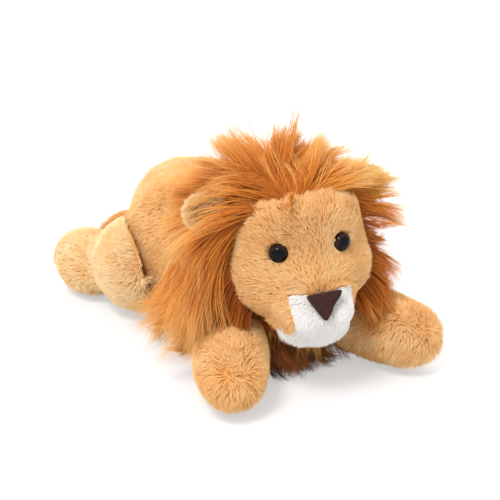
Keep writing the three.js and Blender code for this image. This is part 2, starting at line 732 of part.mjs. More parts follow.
// The ruff's pieces by name, and grown where another piece stays clear of them.
function ruffPieces(grow = 0) {
  const inner = lobed(TORSO, LARGE, SEAT_GAP);
  const shell = lobed(TORSO, LARGE, MANE_BACKING + SEAT_GAP + grow).subtract(inner);
  const piece = (patch, roots, comb, length, width) => {
    const locks = torsoLocks(roots, comb, length + grow, width + grow);
    return joined([shell.intersect(ellipsoid(patch, MEDIUM, grow)), ...locks]).subtract(inner);
  };
  const sides = SIDES.map(([side, name]) => {
    const patch = { ...RUFF_PATCH, at: onSide(RUFF_PATCH.at, side) };
    const roots = RUFF_ROOTS.map((at) => onSide(at, side));
    return [`ruff_${name}`, piece(patch, roots, onSide(RUFF_COMB, side), RUFF_LENGTH, RUFF_WIDTH)];
  });
  return [...sides, ["chest_bib", piece(BIB_PATCH, BIB_ROOTS, BIB_COMB, BIB_LENGTH, BIB_WIDTH)]];
}

function addRuff() {
  const rooms = [headMoves(), ...SIDES.map(([side]) => frontLegRoom(side)), neck(NECK_GAP), below(0)];
  for (const [name, piece] of ruffPieces()) {
    const cleared = largest(rooms.reduce((left, room) => left.subtract(room), piece));
    addNode(name, cleared, name === "chest_bib" ? UMBER : AMBER);
  }
}

// The mane's four panels: where each one's backing lies, and which roots of locks are its own.
function manePanels() {
  const nape = halfSpace([0, NAPE_START, 0], new THREE.Vector3(0, 1, 0)).intersect(
    halfSpace([0, 0, NAPE_LOW], new THREE.Vector3(0, 0, 1)),
  );
  const beforeNape = halfSpace([0, NAPE_START - PANEL_SEAM, 0], new THREE.Vector3(0, -1, 0));
  const behind = (root) => root.y >= NAPE_START;
  const above = (root) => Math.abs(Math.atan2(root.x, root.z)) < CROWN_ANGLE;
  const besides = SIDES.map(([side, name]) => {
    const half = halfSpace([(side * PANEL_SEAM) / 2, 0, 0], new THREE.Vector3(side, 0, 0));
    const region = half.intersect(beforeNape).subtract(crownWedge(-PANEL_SEAM));
    return { name, region, owns: (root) => !behind(root) && !above(root) && side * root.x > 0 };
  });
  const crown = crownWedge(0).intersect(beforeNape);
  return [
    { name: "crown", region: crown, owns: (root) => !behind(root) && above(root) },
    { name: "nape", region: nape, owns: behind },
    ...besides,
  ];
}

function addMane() {
  const inner = lobed(HEAD, LARGE, SEAT_GAP);
  const backing = lobed(HEAD, LARGE, MANE_BACKING + SEAT_GAP);
  const dense = ellipsoid(MANE_SWELL, LARGE);
  const shell = backing.add(dense).subtract(inner).intersect(behindFace);
  const locks = headLocks();
  const still = joined([
    torsoObstacle,
    ...ruffPieces(RUFF_GAP).map(([, piece]) => piece),
    ...SIDES.map(([side]) => frontLegRoom(side)),
  ]);
  const rooms = [neck(NECK_GAP), ...SIDES.map(([side]) => earRoom(side))].map(inHead);
  const made = [];
  for (const { name, region, owns } of manePanels()) {
    const own = locks.filter(({ root }) => owns(root)).map(({ piece }) => piece.subtract(inner));
    const whole = joined([shell.intersect(region), ...own]);
    const alone = [...rooms, ...made].reduce((left, other) => left.subtract(other), whole);
    const panel = clearOf(alone, inHead(still), HEAD_PASSES);
    // The next panels stay clear of this one by a seam, backwards and downwards.
    made.push(panel, panel.translate([0, PANEL_SEAM, 0]), panel.translate([0, 0, -PANEL_SEAM]));
    addNode(`mane_${name}`, headPiece(panel), AMBER);
  }
}

// Tail

function addTail() {
  const line = new THREE.CatmullRomCurve3(TAIL_LINE.map(vector));
  const root = TAIL_LINE[0];
  const poses = backwards(anglesOf(TAIL_SWING).map((angle) => turnAbout(root, [0, 0, 1], angle)));
  const tail = drawnOut({ line, radii: TAIL_RADII, blunt: TAIL_BLUNT }, MEDIUM).subtract(below(0));
  addNode("tail", clearOf(tail, torsoObstacle, poses), GOLD);
  const tip = line.getPoint(1);
  const end = line.getTangent(1);
  const middle = tip.clone().addScaledVector(end, -TUFT_CORE.inset);
  const core = ellipsoid({ at: middle.toArray(), radii: Array(3).fill(TUFT_CORE.radius) }, SMALL);
  const locks = Array.from({ length: TUFT_LOCKS }, (_, i) => {
    const around = (i / TUFT_LOCKS) * 2 * Math.PI;
    const aside = new THREE.Vector3(Math.cos(around), Math.sin(around), 0.2);
    const comb = end.clone().addScaledVector(aside, 0.4).normalize();
    return lock(tip.clone().addScaledVector(aside, TUFT_CORE.inset), end, comb, TUFT_LENGTH, TUFT_WIDTH);
  });
  const room = drawnOut({ line, radii: TAIL_RADII, blunt: TAIL_BLUNT }, MEDIUM, SEAT_GAP);
  addNode("tail_tuft", largest(joined([core, ...locks]).subtract(room).subtract(below(0))), AMBER);
}

addTorso();
for (const [side, name] of SIDES) addLegs(side, name);
addHead();
addFace();
for (const [side, name] of SIDES) addEar(side, name);
addMane();
addRuff();
addTail();

// The origin lies under the middle of the whole toy.
const bounds = new THREE.Box3().setFromObject(lion);
const middle = bounds.getCenter(new THREE.Vector3());
lion.position.set(-middle.x, -middle.y, -bounds.min.z);

export default lion;
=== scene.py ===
"""A plush lion's looks: skins, short pile, mane, face and stage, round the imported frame.

Sizes are in millimetres until they reach Blender, in the frame's axes: +Z up, the lion faces -Y.
"""

import json
import math

import bmesh
import bpy
import numpy as np
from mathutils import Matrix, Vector
from mathutils.kdtree import KDTree

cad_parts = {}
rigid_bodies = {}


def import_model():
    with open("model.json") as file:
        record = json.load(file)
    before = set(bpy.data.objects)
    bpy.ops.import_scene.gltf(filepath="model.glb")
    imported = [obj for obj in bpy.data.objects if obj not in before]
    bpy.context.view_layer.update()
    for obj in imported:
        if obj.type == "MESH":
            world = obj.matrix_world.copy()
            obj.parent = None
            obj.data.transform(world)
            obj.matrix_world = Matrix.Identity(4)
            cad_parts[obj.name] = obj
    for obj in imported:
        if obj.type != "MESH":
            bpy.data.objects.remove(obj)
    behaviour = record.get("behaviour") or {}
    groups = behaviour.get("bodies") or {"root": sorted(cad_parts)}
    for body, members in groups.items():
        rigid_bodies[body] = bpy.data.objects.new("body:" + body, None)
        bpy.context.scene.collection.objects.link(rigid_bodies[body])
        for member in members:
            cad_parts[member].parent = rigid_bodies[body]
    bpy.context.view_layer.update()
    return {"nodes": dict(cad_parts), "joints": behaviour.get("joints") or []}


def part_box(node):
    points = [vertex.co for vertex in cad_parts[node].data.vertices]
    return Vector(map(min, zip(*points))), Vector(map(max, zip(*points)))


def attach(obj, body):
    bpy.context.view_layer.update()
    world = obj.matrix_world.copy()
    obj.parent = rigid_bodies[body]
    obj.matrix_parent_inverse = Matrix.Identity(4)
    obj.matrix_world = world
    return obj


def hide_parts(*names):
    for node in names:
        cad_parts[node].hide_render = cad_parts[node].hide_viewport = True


MM = 0.001
bpy.context.scene.view_settings.view_transform = "Standard"
scene_objects = bpy.context.scene.collection.objects
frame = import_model()

# Camera: how it stands, seen from the point of the floor that it looks at
CAMERA_ROUND = -28  # degrees, towards the lion's right
CAMERA_UP = 22  # degrees
CAMERA_DISTANCE = 1100
CAMERA_LENS = 100.8
CAMERA_SENSOR = 36
TARGET_FROM_NECK = (71.2, 174.3)

# Head: how it stands on the neck
HEAD_TURN = -10  # degrees, towards the lion's right
HEAD_ROLL = -3.5  # degrees, its left side up
HEAD_FROM_NECK = (0, -23, 31)

SIDES = {"left": 1, "right": -1}  # the lion's, and the way that each lies along X

# Skins: how finely they are meshed, how often they are smoothed, how deep under the pile they lie
SKIN_VOXEL = 3.5
SKIN_ROUNDS = 26
SKIN_DEPTH = 3.2

# All pile
MOST_TRIANGLES = 195_000  # in one piece
FLOOR_GAP = 0.6  # kept between the pile and the floor
UNEVEN_CELL = 9  # size of the patches in which pile grows longer
UNEVEN_SHARES = (0.85, 0.3)  # of its length: the least, and what the patches add
PULL_SPREAD = 0.16  # of the shares by which strands near their lock's middle
MOST_PULL = 0.95

# Short pile. The drifts of its lay are layers of noise: cell, strength and step of the seed
PILE_LENGTH = 6.5
PILE_WIDTH = 0.52
PILE_DENSITY = 2.4  # strands per square millimetre
PILE_SEGMENTS = 2
PILE_DRIFTS = ((12, 0.35, 0), (4.5, 0.25, 9))
PILE_LOOSE = 0.14  # spread of its strands' directions
PILE_LEAN = 0.7  # how far a strand leans at its root
PILE_RISE = 0.25  # how far it rises at its tip
PILE_LENGTHS = (0.75, 1.15)  # its shortest and longest strands, in shares
PILE_WIDTHS = (0.7, 1.25)
PILE_PATCHES = (13, 5)  # cells of its tone
PILE_PATCH_TONES = 0.6
PILE_TONES = 0.08  # spread of its strands' tones
TUFT_STRANDS = 7
TUFT_PULL = 0.25

# Long pile
MANE_WIDTH = 0.38
MANE_SEGMENTS = 6
MANE_DENSITY = 2.5
MANE_DRIFTS = ((15, 0.35, 0), (6, 0.3, 5))
MANE_ROOT_DRIFT = 0.5  # share of the drifts at the root
MANE_LOOSE = (0.1, 0.22)  # spread of first and last directions
MANE_LENGTHS = (0.66, 1.06)
MANE_WIDTHS = (0.6, 1.25)
MANE_PATCH = 7
MANE_PATCH_TONES = 0.5
MANE_TONES = 0.1  # spread of locks' tones, and of their strands'
MANE_WAVE = 3.2
LOCK_STRANDS = (16, 190)  # in small and large locks
LARGE_LOCKS = {"pull": 0.45, "late": 1.3, "bend": 7}
SMALL_LOCKS = {"pull": 0.62, "late": 0.9, "bend": 3}

# Light: the world's, and the floor's glow, what it shows of its shading and what it throws back
WORLD_LIGHT = (0.7, 0.7, 0.71)
FLOOR_GLOW = 0.5
FLOOR_SHADED = 0.55
FLOOR_BOUNCE = 0.85
FLOOR_HALF = 3.0  # metres from its middle to its sides

# Lamps: place and size in metres, power in watts, and where they aim
LAMPS = {"key": ((-0.9, -0.7, 1.5), 0.5, 20), "back": ((0.6, 1.2, 1.4), 1.2, 19)}
LAMP_AIM = (0, 0, 0.06)


def neck_point():
    joint = next(j for j in frame["joints"] if j["name"] == "head_nod")
    return np.array(joint["pos_m"]) / MM


NECK = neck_point()


def turn_matrix(axis, degrees):
    angle = math.radians(degrees)
    c, s = math.cos(angle), math.sin(angle)
    matrix = np.eye(3)
    i, k = {"y": (2, 0), "z": (0, 1)}[axis]
    matrix[i, i] = matrix[k, k] = c
    matrix[i, k] = -s
    matrix[k, i] = s
    return matrix


HEAD_TURNED = turn_matrix("z", HEAD_TURN) @ turn_matrix("y", HEAD_ROLL)


def in_head(points):
    """Points of the frame, in the head's own frame, from the middle of the skull."""
    return (points - NECK) @ HEAD_TURNED - np.array(HEAD_FROM_NECK)


def from_head(directions):
    return directions @ HEAD_TURNED.T


# Numbers


def unit(vectors):
    return vectors / np.maximum(np.linalg.norm(vectors, axis=-1, keepdims=True), 1e-9)


def smooth_step(low, high, x):
    t = np.clip((x - low) / (high - low), 0, 1)
    return t * t * (3 - 2 * t)


NOISE_PRIMES = np.array([73856093, 19349663, 83492791])


def noise(points, cell, seed):
    """Smooth noise from 0 to 1, with features about a cell across."""
    place = points / cell
    corner = np.floor(place).astype(np.int64)
    t = place - corner
    t = t * t * (3 - 2 * t)
    total = np.zeros(len(points))
    for step in np.ndindex(2, 2, 2):
        mixed = (corner + step) @ NOISE_PRIMES + seed * 2654435761
        mixed = (mixed ^ (mixed >> 13)) * 1274126177
        value = ((mixed ^ (mixed >> 16)) & 0xFFFF) / 0xFFFF
        total += value * np.prod(np.where(step, t, 1 - t), axis=1)
    return total


def noise_vectors(points, cell, seed):
    return np.stack([noise(points, cell, seed + k) for k in range(3)], axis=1) * 2 - 1


def drifts(points, layers, seed):
    """Directions that drift over the points, from layers of noise."""
    return sum(noise_vectors(points, cell, seed + step) * strength for cell, strength, step in layers)


def along(normals, directions):
    """Directions laid along a surface."""
    return directions - normals * np.sum(directions * normals, axis=1, keepdims=True)


def nearest(points, others):
    """Which of some other points is nearest to each point, and how far it is."""
    tree = KDTree(len(others))
    for index, other in enumerate(others):
        tree.insert(other, index)
    tree.balance()
    found = [tree.find(point) for point in points]
    return np.array([index for _, index, _ in found]), np.array([distance for _, _, distance in found])


# Colours and materials


def linear(red, green, blue):
    """A screen's colour, from 0 to 255, in Blender's linear numbers."""

    def one(c):
        c /= 255
        return c / 12.92 if c <= 0.04045 else ((c + 0.055) / 1.055) ** 2.4

    return (one(red), one(green), one(blue), 1)


# Each pile's palette: its darkest, middle and lightest strands, from root to tip. The darker roots are
# partly the pile's own dye and partly painted shade deep in the pile; the lighter tips are partly painted
# light that they catch
PALETTES = {
    "gold_plush": [
        [(226, 158, 84), (232, 168, 96), (240, 184, 118)],
        [(240, 180, 104), (248, 194, 124), (253, 210, 148)],
        [(250, 208, 144), (255, 228, 174), (255, 240, 204)],
    ],
    "cream_plush": [
        [(200, 148, 92), (222, 174, 114), (234, 194, 138)],
        [(214, 164, 106), (238, 196, 138), (248, 214, 164)],
        [(226, 180, 124), (248, 216, 166), (255, 234, 198)],
    ],
    "white_plush": [
        [(240, 234, 228), (246, 242, 237), (250, 247, 243)],
        [(247, 242, 237), (252, 249, 245), (254, 252, 250)],
        [(251, 248, 244), (254, 252, 249), (255, 255, 254)],
    ],
    "amber_long_pile": [
        [(116, 52, 18), (172, 90, 34), (216, 138, 66)],
        [(170, 84, 24), (224, 134, 54), (249, 190, 106)],
        [(200, 112, 34), (246, 176, 82), (255, 228, 160)],
    ],
    "umber_long_pile": [
        [(48, 20, 8), (84, 40, 18), (110, 58, 28)],
        [(72, 32, 12), (128, 68, 32), (158, 96, 52)],
        [(112, 54, 22), (174, 104, 54), (208, 144, 88)],
    ],
}


def set_inputs(tree, node, inputs):
    """Sets a shader node's inputs to values, or links them to outputs of other nodes."""
    for key, given in inputs.items():
        if isinstance(given, bpy.types.NodeSocket):
            tree.links.new(given, node.inputs[key])
        else:
            node.inputs[key].default_value = given


def new_node(tree, kind, inputs=None):
    node = tree.nodes.new("ShaderNode" + kind)
    set_inputs(tree, node, inputs or {})
    return node


def new_material(name, roughness, specular, sheen=0.0):
    material = bpy.data.materials.new(name)
    material.use_nodes = True
    tree = material.node_tree
    shader = tree.nodes["Principled BSDF"]
    set_inputs(tree, shader, {"Roughness": roughness, "Specular IOR Level": specular, "Sheen Weight": sheen})
    return material, tree, shader


def ramp(tree, factor, stops):
    node = new_node(tree, "ValToRGB", {"Fac": factor})
    elements = node.color_ramp.elements
    while len(elements) < len(stops):
        elements.new(0.5)
    for element, (place, colour) in zip(elements, stops):
        element.position = place
        element.color = linear(*colour)
    return node.outputs["Color"]


def mixed_colours(tree, factor, first, second):
    node = new_node(tree, "Mix")
    node.data_type = "RGBA"
    set_inputs(tree, node, {"Factor": factor, "A": first, "B": second})
    return node.outputs["Result"]


def clamped(tree, value, low, high):
    """0 where a value is at low or under it, 1 at high or over it."""
    node = new_node(tree, "MapRange", {"Value": value, "From Min": low, "From Max": high})
    return node.outputs["Result"]


def pile_material(slot, roughness, specular):
    """Strand colours from the strand map: its U is a strand's tone, its V runs from root to tip."""
    material, tree, shader = new_material(slot, roughness, specular)
    strand_map = new_node(tree, "UVMap")
    strand_map.uv_map = "OFBake"
    split = new_node(tree, "SeparateXYZ", {0: strand_map.outputs["UV"]})
    tone, height = split.outputs["X"], split.outputs["Y"]
    places = (0.0, 0.5, 1.0)
    # along each strand: darker roots and lighter tips, partly the pile's own dye and partly painted shade
    # and painted light
    dark, middle, light = (ramp(tree, height, list(zip(places, row))) for row in PALETTES[slot])
    lower = mixed_colours(tree, clamped(tree, tone, 0, 0.5), dark, middle)
    colour = mixed_colours(tree, clamped(tree, tone, 0.5, 1), lower, light)
    tree.links.new(colour, shader.inputs["Base Color"])
    return material


def grained_material(name, dark, light, scale, **finish):
    """A material with fine grains of two colours, and its tree, its shader and the grains."""
    material, tree, shader = new_material(name, **finish)
    place = new_node(tree, "NewGeometry").outputs["Position"]
    grains = new_node(tree, "TexNoise", {"Scale": scale, "Vector": place}).outputs["Fac"]
    tree.links.new(ramp(tree, grains, [(0.3, dark), (0.7, light)]), shader.inputs["Base Color"])
    return material, tree, shader, grains


def backing_material(name, dark, light):
    """Knitted backing that shows between strands."""
    return grained_material(name, dark, light, scale=260, roughness=0.95, specular=0.1)[0]


# Each pile's roughness and specular level
SHORT_FINISH = (1.0, 0.0)
LONG_FINISH = (0.6, 0.08)
PILE = {
    slot: pile_material(slot, *(LONG_FINISH if slot.endswith("long_pile") else SHORT_FINISH))
    for slot in PALETTES
}
BACKING = {
    "gold_plush": backing_material("gold_backing", (226, 160, 92), (240, 180, 112)),
    "cream_plush": backing_material("cream_backing", (206, 156, 102), (226, 182, 126)),
    "white_plush": backing_material("white_backing", (236, 230, 222), (246, 242, 236)),
    "amber_long_pile": backing_material("amber_backing", (96, 42, 14), (140, 70, 26)),
    "umber_long_pile": backing_material("umber_backing", (48, 20, 8), (78, 36, 16)),
    "polyester_fill": backing_material("fill_fabric", (226, 222, 212), (244, 241, 234)),
}


# Meshes


def add_object(name, mesh, body, material):
    obj = bpy.data.objects.new(name, mesh)
    scene_objects.link(obj)
    mesh.materials.clear()
    mesh.materials.append(material)
    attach(obj, body)
    return obj


def threes(items, name, kind=float):
    """What a mesh keeps by threes for its corners, normals or triangles."""
    values = np.empty(len(items) * 3, kind)
    items.foreach_get(name, values)
    return values.reshape(-1, 3)


def points_of(mesh):
    return threes(mesh.vertices, "co") / MM


def shade_smooth(mesh):
    mesh.polygons.foreach_set("use_smooth", [True] * len(mesh.polygons))


def node_mesh(name, nodes):
    """The solids of some CAD nodes in one mesh."""
    vertices, faces = [], []
    for node in nodes:
        data = frame["nodes"][node].data
        start = len(vertices)
        vertices.extend(v.co for v in data.vertices)
        faces.extend([start + i for i in polygon.vertices] for polygon in data.polygons)
    mesh = bpy.data.meshes.new(name)
    mesh.from_pydata(vertices, [], faces)
    joined = bmesh.new()
    joined.from_mesh(mesh)
    bmesh.ops.remove_doubles(joined, verts=joined.verts, dist=0.01 * MM)
    joined.to_mesh(mesh)
    joined.free()
    return mesh


def add_remesh(obj, voxel):
    remesh = obj.modifiers.new("remesh", "REMESH")
    remesh.mode = "VOXEL"
    remesh.voxel_size = voxel * MM


def add_swell(obj, distance):
    swell = obj.modifiers.new("swell", "DISPLACE")
    swell.mid_level = 0
    swell.strength = distance * MM


def skin(name, body, slot, nodes, voxel=SKIN_VOXEL, rounds=SKIN_ROUNDS, depth=SKIN_DEPTH, filled=0,
         shaped_by=()):
    """A smooth closed skin under the surface of some CAD nodes, which others may help to shape. Creases
    narrower than the radius in filled are filled."""
    source = bpy.data.objects.new(name + "_source", node_mesh(name, [*nodes, *shaped_by]))
    scene_objects.link(source)
    add_remesh(source, voxel)
    if filled:
        add_swell(source, filled)
        add_remesh(source, voxel)
        add_swell(source, -filled)
    smooth = source.modifiers.new("smooth", "SMOOTH")
    smooth.factor = 0.5
    smooth.iterations = rounds
    add_swell(source, -depth)
    depsgraph = bpy.context.evaluated_depsgraph_get()
    mesh = bpy.data.meshes.new_from_object(source.evaluated_get(depsgraph), depsgraph=depsgraph)
    bpy.data.objects.remove(source)
    mesh.name = name
    shade_smooth(mesh)
    obj = add_object(name, mesh, body, BACKING[slot])
    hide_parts(*nodes)
    return obj


class Surface:
    """A skin's triangles, to scatter roots over."""

    def __init__(self, obj):
        mesh = obj.data
        mesh.calc_loop_triangles()
        corners = threes(mesh.loop_triangles, "vertices", int)
        self.points = points_of(mesh)[corners]
        self.normals = threes(mesh.vertex_normals, "vector")[corners]
        edges = self.points[:, 1:] - self.points[:, :1]
        self.areas = np.linalg.norm(np.cross(edges[:, 0], edges[:, 1]), axis=1) / 2

    def scatter(self, density, random):
        """Roots and normals, so many to the square millimetre."""
        count = int(self.areas.sum() * density)
        chosen = random.choice(len(self.areas), count, p=self.areas / self.areas.sum())
        shares = random.dirichlet((1, 1, 1), count)[:, :, None]
        roots = (self.points[chosen] * shares).sum(1)
        return roots, unit((self.normals[chosen] * shares).sum(1))


# Strands


def paths_of(roots, start, end, lengths, segments, turn=1.0):
    """Paths that leave their roots one way and end up pointing another way."""
    share = (((np.arange(segments) + 0.5) / segments) ** turn)[None, :, None]
    directions = unit(start[:, None] * (1 - share) + end[:, None] * share)
    steps = directions * (lengths / segments)[:, None, None]
    return np.concatenate([roots[:, None], roots[:, None] + np.cumsum(steps, axis=1)], axis=1)


def above_floor(paths):
    paths[:, :, 2] = np.maximum(paths[:, :, 2], FLOOR_GAP)
    return paths


# A strand's three-sided outline: a low ridge on a wide base, as shares of half its width
STRAND_ACROSS = np.array([0, -1, 1])
STRAND_UP = np.array([0.45, -0.25, -0.25])


def strand_corners(count, segments):
    """The faces of three-sided tapering strands: corner indices and how many corners each face has."""
    ring = np.arange(3)
    following = (ring + 1) % 3
    quads = []
    for r in range(segments - 1):
        low, high = 3 * r, 3 * (r + 1)
        quads.append(np.stack([low + ring, high + ring, high + following, low + following], axis=1).ravel())
    last = 3 * (segments - 1)
    tips = np.stack([last + ring, np.full(3, 3 * segments), last + following], axis=1).ravel()
    one = np.concatenate([*quads, tips, ring])
    starts = (np.arange(count) * (3 * segments + 1))[:, None]
    sizes = np.concatenate([np.full(3 * (segments - 1), 4), np.full(4, 3)])
    return (starts + one).ravel(), np.tile(sizes, count)


def strand_mesh(name, paths, widths, normals, tones):
    """One mesh of strands, each a closed tapering tube with its ridge away from the skin."""
    count, rings = paths.shape[:2]
    segments = rings - 1
    tangents = unit(np.gradient(paths, axis=1))
    side = unit(np.cross(tangents, normals[:, None]))
    up = np.cross(side, tangents)
    height = np.linspace(0, 1, rings)
    taper = (1 - height**2) ** 0.75 * 0.9 + 0.1
    radial = STRAND_ACROSS[None, None, :, None] * side[:, :-1, None]
    radial = radial + STRAND_UP[None, None, :, None] * up[:, :-1, None]
    reach = (widths[:, None] * taper[None, :-1] / 2)[:, :, None, None]
    body = (paths[:, :-1, None] + radial * reach).reshape(count, -1, 3)
    points = np.concatenate([body, paths[:, -1:]], axis=1).reshape(-1, 3)
    corners, sizes = strand_corners(count, segments)

    mesh = bpy.data.meshes.new(name)
    mesh.vertices.add(len(points))
    mesh.vertices.foreach_set("co", (points * MM).astype(np.float32).ravel())
    mesh.loops.add(len(corners))
    mesh.loops.foreach_set("vertex_index", corners.astype(np.int32))
    mesh.polygons.add(len(sizes))
    mesh.polygons.foreach_set("loop_start", np.concatenate([[0], np.cumsum(sizes)[:-1]]).astype(np.int32))
    mesh.update(calc_edges=True)
    heights = np.concatenate([np.repeat(height[:-1], 3), [1]])
    places = np.stack([np.repeat(tones, len(heights)), np.tile(heights, count)], axis=1)
    places = np.clip(places, 0.01, 0.99)
    layer = mesh.uv_layers.new(name="OFBake")
    layer.uv.foreach_set("vector", places[corners].astype(np.float32).ravel())
    mesh.polygons.foreach_set("use_smooth", np.zeros(len(sizes), bool))
    return mesh


def coat(name, body, slot, paths, widths, normals, tones, stands_for=()):
    """Strands as pieces of one body, no piece with too many triangles."""
    segments = paths.shape[1] - 1
    most = MOST_TRIANGLES // (6 * (segments - 1) + 4)
    parts = max(1, math.ceil(len(paths) / most))
    for part in range(parts):
        own = slice(part, None, parts)
        label = f"{name}_{part + 1}" if parts > 1 else name
        mesh = strand_mesh(label, paths[own], widths[own], normals[own], tones[own])
        obj = add_object(label, mesh, body, PILE[slot])
        if part == 0 and stands_for:
            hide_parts(*stands_for)


def uneven(lengths, shares, roots, seed, random):
    """Lengths that differ from strand to strand, and from patch to patch."""
    least, added = UNEVEN_SHARES
    return lengths * random.uniform(*shares, len(roots)) * (least + added * noise(roots, UNEVEN_CELL, seed))


def gathered(paths, random, lock_size, pull, late=1, bend=0):
    """Paths drawn into locks, and each path's lock. Strands near their lock's middle strand, most of all
    at the tip, and each lock's tip bends its own way by about so many millimetres."""
    count = len(paths)
    guides = random.choice(count, max(2, count // lock_size), replace=False)
    lock, _ = nearest(paths[:, 1], paths[guides, 1])
    height = np.linspace(0, 1, paths.shape[1])[None, :, None]
    own_pull = np.clip(random.normal(pull, PULL_SPREAD, count), 0, MOST_PULL)[:, None, None]
    bends = random.normal(0, bend, (len(guides), 3))[lock][:, None]
    return paths + (paths[guides][lock] - paths) * own_pull * height**late + bends * height**2, lock


def waved(paths, size, seed):
    """Paths with a soft wave that grows towards their tips, alike in neighbours."""
    roots = paths[:, 0]
    height = np.linspace(0, 1, paths.shape[1])[None, :, None]
    phase = noise(roots, 10, seed)[:, None, None] * 2
    turns = 0.6 + 0.7 * noise(roots, 16, seed + 1)[:, None, None]
    aside = noise_vectors(roots, 7, seed + 2)[:, None]
    return paths + aside * size * height * np.sin((phase + turns * height) * 2 * np.pi)


def short_pile(name, body, slot, surface, lay, seed, length=PILE_LENGTH, density=PILE_DENSITY, keep=None,
               swirl=1.0, tone=0.5, width=PILE_WIDTH, lift=None):
    """A coat of short pile, which leans as lay(roots, normals) says and grows where keep(roots, normals)
    says. Length and tone may be functions of the roots, and lift(roots) sets them above the skin."""
    random = np.random.default_rng(seed)
    roots, normals = surface.scatter(density, random)
    if keep is not None:
        kept = keep(roots, normals)
        roots, normals = roots[kept], normals[kept]
    if lift is not None:
        roots = roots + normals * lift(roots)[:, None]
    count = len(roots)
    astray = drifts(roots, PILE_DRIFTS, seed) + random.normal(0, PILE_LOOSE, (count, 3))
    leaning = unit(along(normals, lay(roots, normals) + astray * swirl))
    start = unit(normals + leaning * PILE_LEAN)
    end = unit(normals * PILE_RISE + leaning)
    whole = length(roots) if callable(length) else length
    lengths = uneven(whole, PILE_LENGTHS, roots, seed + 20, random)
    paths = paths_of(roots, start, end, lengths, PILE_SEGMENTS)
    paths, _ = gathered(paths, random, TUFT_STRANDS, TUFT_PULL)
    paths = above_floor(paths)
    widths = width * random.uniform(*PILE_WIDTHS, count)
    patches = noise(roots, PILE_PATCHES[0], seed + 30) / 2 + noise(roots, PILE_PATCHES[1], seed + 40) / 2
    base = tone(roots) if callable(tone) else tone
    tones = base + (patches - 0.5) * PILE_PATCH_TONES + random.normal(0, PILE_TONES, count)
    coat(name, body, slot, paths, widths, normals, np.clip(tones, 0, 1))


def long_pile(name, body, slot, roots, normals, flow, seed, lengths, tone, locks=LOCK_STRANDS,
              width=MANE_WIDTH, clear=None, stands_for=()):
    """A coat of long pile: flow(roots, normals) says how each strand starts and ends, clear(paths)
    which strands are kept."""
    random = np.random.default_rng(seed)
    count = len(roots)
    start, end = flow(roots, normals)
    drift = drifts(roots, MANE_DRIFTS, seed)
    start = unit(start + drift * MANE_ROOT_DRIFT + random.normal(0, MANE_LOOSE[0], (count, 3)))
    end = unit(end + drift + random.normal(0, MANE_LOOSE[1], (count, 3)))
    lengths = uneven(lengths, MANE_LENGTHS, roots, seed + 12, random)
    paths = paths_of(roots, start, end, lengths, MANE_SEGMENTS, turn=0.8)
    small, large = locks
    paths, lock = gathered(paths, random, large, **LARGE_LOCKS)
    paths, _ = gathered(paths, random, small, **SMALL_LOCKS)
    paths = above_floor(waved(paths, MANE_WAVE, seed + 50))
    widths = width * random.uniform(*MANE_WIDTHS, count)
    lock_tones = random.normal(0, MANE_TONES, lock.max() + 1)[lock]
    patches = (noise(roots, MANE_PATCH, seed + 30) - 0.5) * MANE_PATCH_TONES
    tones = np.clip(tone + patches + lock_tones + random.normal(0, MANE_TONES, count), 0, 1)
    kept = np.ones(count, bool) if clear is None else clear(paths)
    coat(name, body, slot, paths[kept], widths[kept], normals[kept], tones[kept], stands_for)


# Torso, legs and tail


BELLY_BARE = 4  # height under which skin that faces the floor bears no pile
CREASE = (12, 2)  # how near a hind leg the torso's pile starts to grow longer, and is longest
CREASE_PILE = 4.5  # how much longer
PAINTED_RUMP_LIGHT_SPAN = (30, 110)  # Y over which the plush is painted lighter towards the rump: painted light, falling from behind and above
PAINTED_RUMP_LIGHT_TONES = (0.45, 0.55)  # at the front, and the painted light that the rump adds
PAW = (26, 4)  # how far behind a front paw's end its pile starts to grow longer, and is longest

LAY_BACK = [0, 0.35, -0.45]  # down the sides and towards the tail

# Each pair of legs: their lay, how much longer the pile is at the paws' ends, their tone. The hind legs'
# lighter tone is painted light on the haunches
LEGS = {"front_leg": (LAY_BACK, 3, 0.5), "hind_leg": ([0, 0.45, -0.15], 0, 0.75)}


def one_way(direction):
    """A lay that is the same all over."""
    return lambda roots, normals: np.broadcast_to(direction, roots.shape)


def off_belly(roots, normals):
    return (roots[:, 2] > BELLY_BARE) | (normals[:, 2] > -0.5)


def node_middle(*nodes):
    lows, highs = zip(*(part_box(node) for node in nodes))
    return (np.min(lows, axis=0) + np.max(highs, axis=0)) / 2 / MM


def add_torso():
    nodes = ["torso_skin", "torso_stuffing", "belly_pellet_bag"]
    surface = Surface(skin("torso", "torso", "gold_plush", nodes))
    legs = np.concatenate([points_of(frame["nodes"][f"hind_leg_{side}_skin"].data) for side in SIDES])

    def length(roots):
        _, distance = nearest(roots, legs)
        return PILE_LENGTH + CREASE_PILE * smooth_step(*CREASE, distance)

    # painted light: the pile's tone rises towards the rump
    def tone(roots):
        front, added = PAINTED_RUMP_LIGHT_TONES
        return front + added * smooth_step(*PAINTED_RUMP_LIGHT_SPAN, roots[:, 1])

    short_pile("torso_pile", "torso", "gold_plush", surface, one_way(LAY_BACK), 11, keep=off_belly,
               length=length, tone=tone)
    skin("neck_fill", "neck", "polyester_fill", ["neck_stuffing"], rounds=4, depth=0.5)
    return surface


def add_leg(leg, side, seed):
    body = f"{leg}_{side}"
    nodes = [f"{body}_skin", f"{body}_stuffing"]
    surface = Surface(skin(body, body, "gold_plush", nodes))
    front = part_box(nodes[0])[0][1] / MM
    direction, paw_pile, tone = LEGS[leg]

    def length(roots):
        return PILE_LENGTH + paw_pile * smooth_step(*PAW, roots[:, 1] - front)

    short_pile(f"{body}_pile", body, "gold_plush", surface, one_way(direction), seed, keep=off_belly,
               length=length, tone=tone)


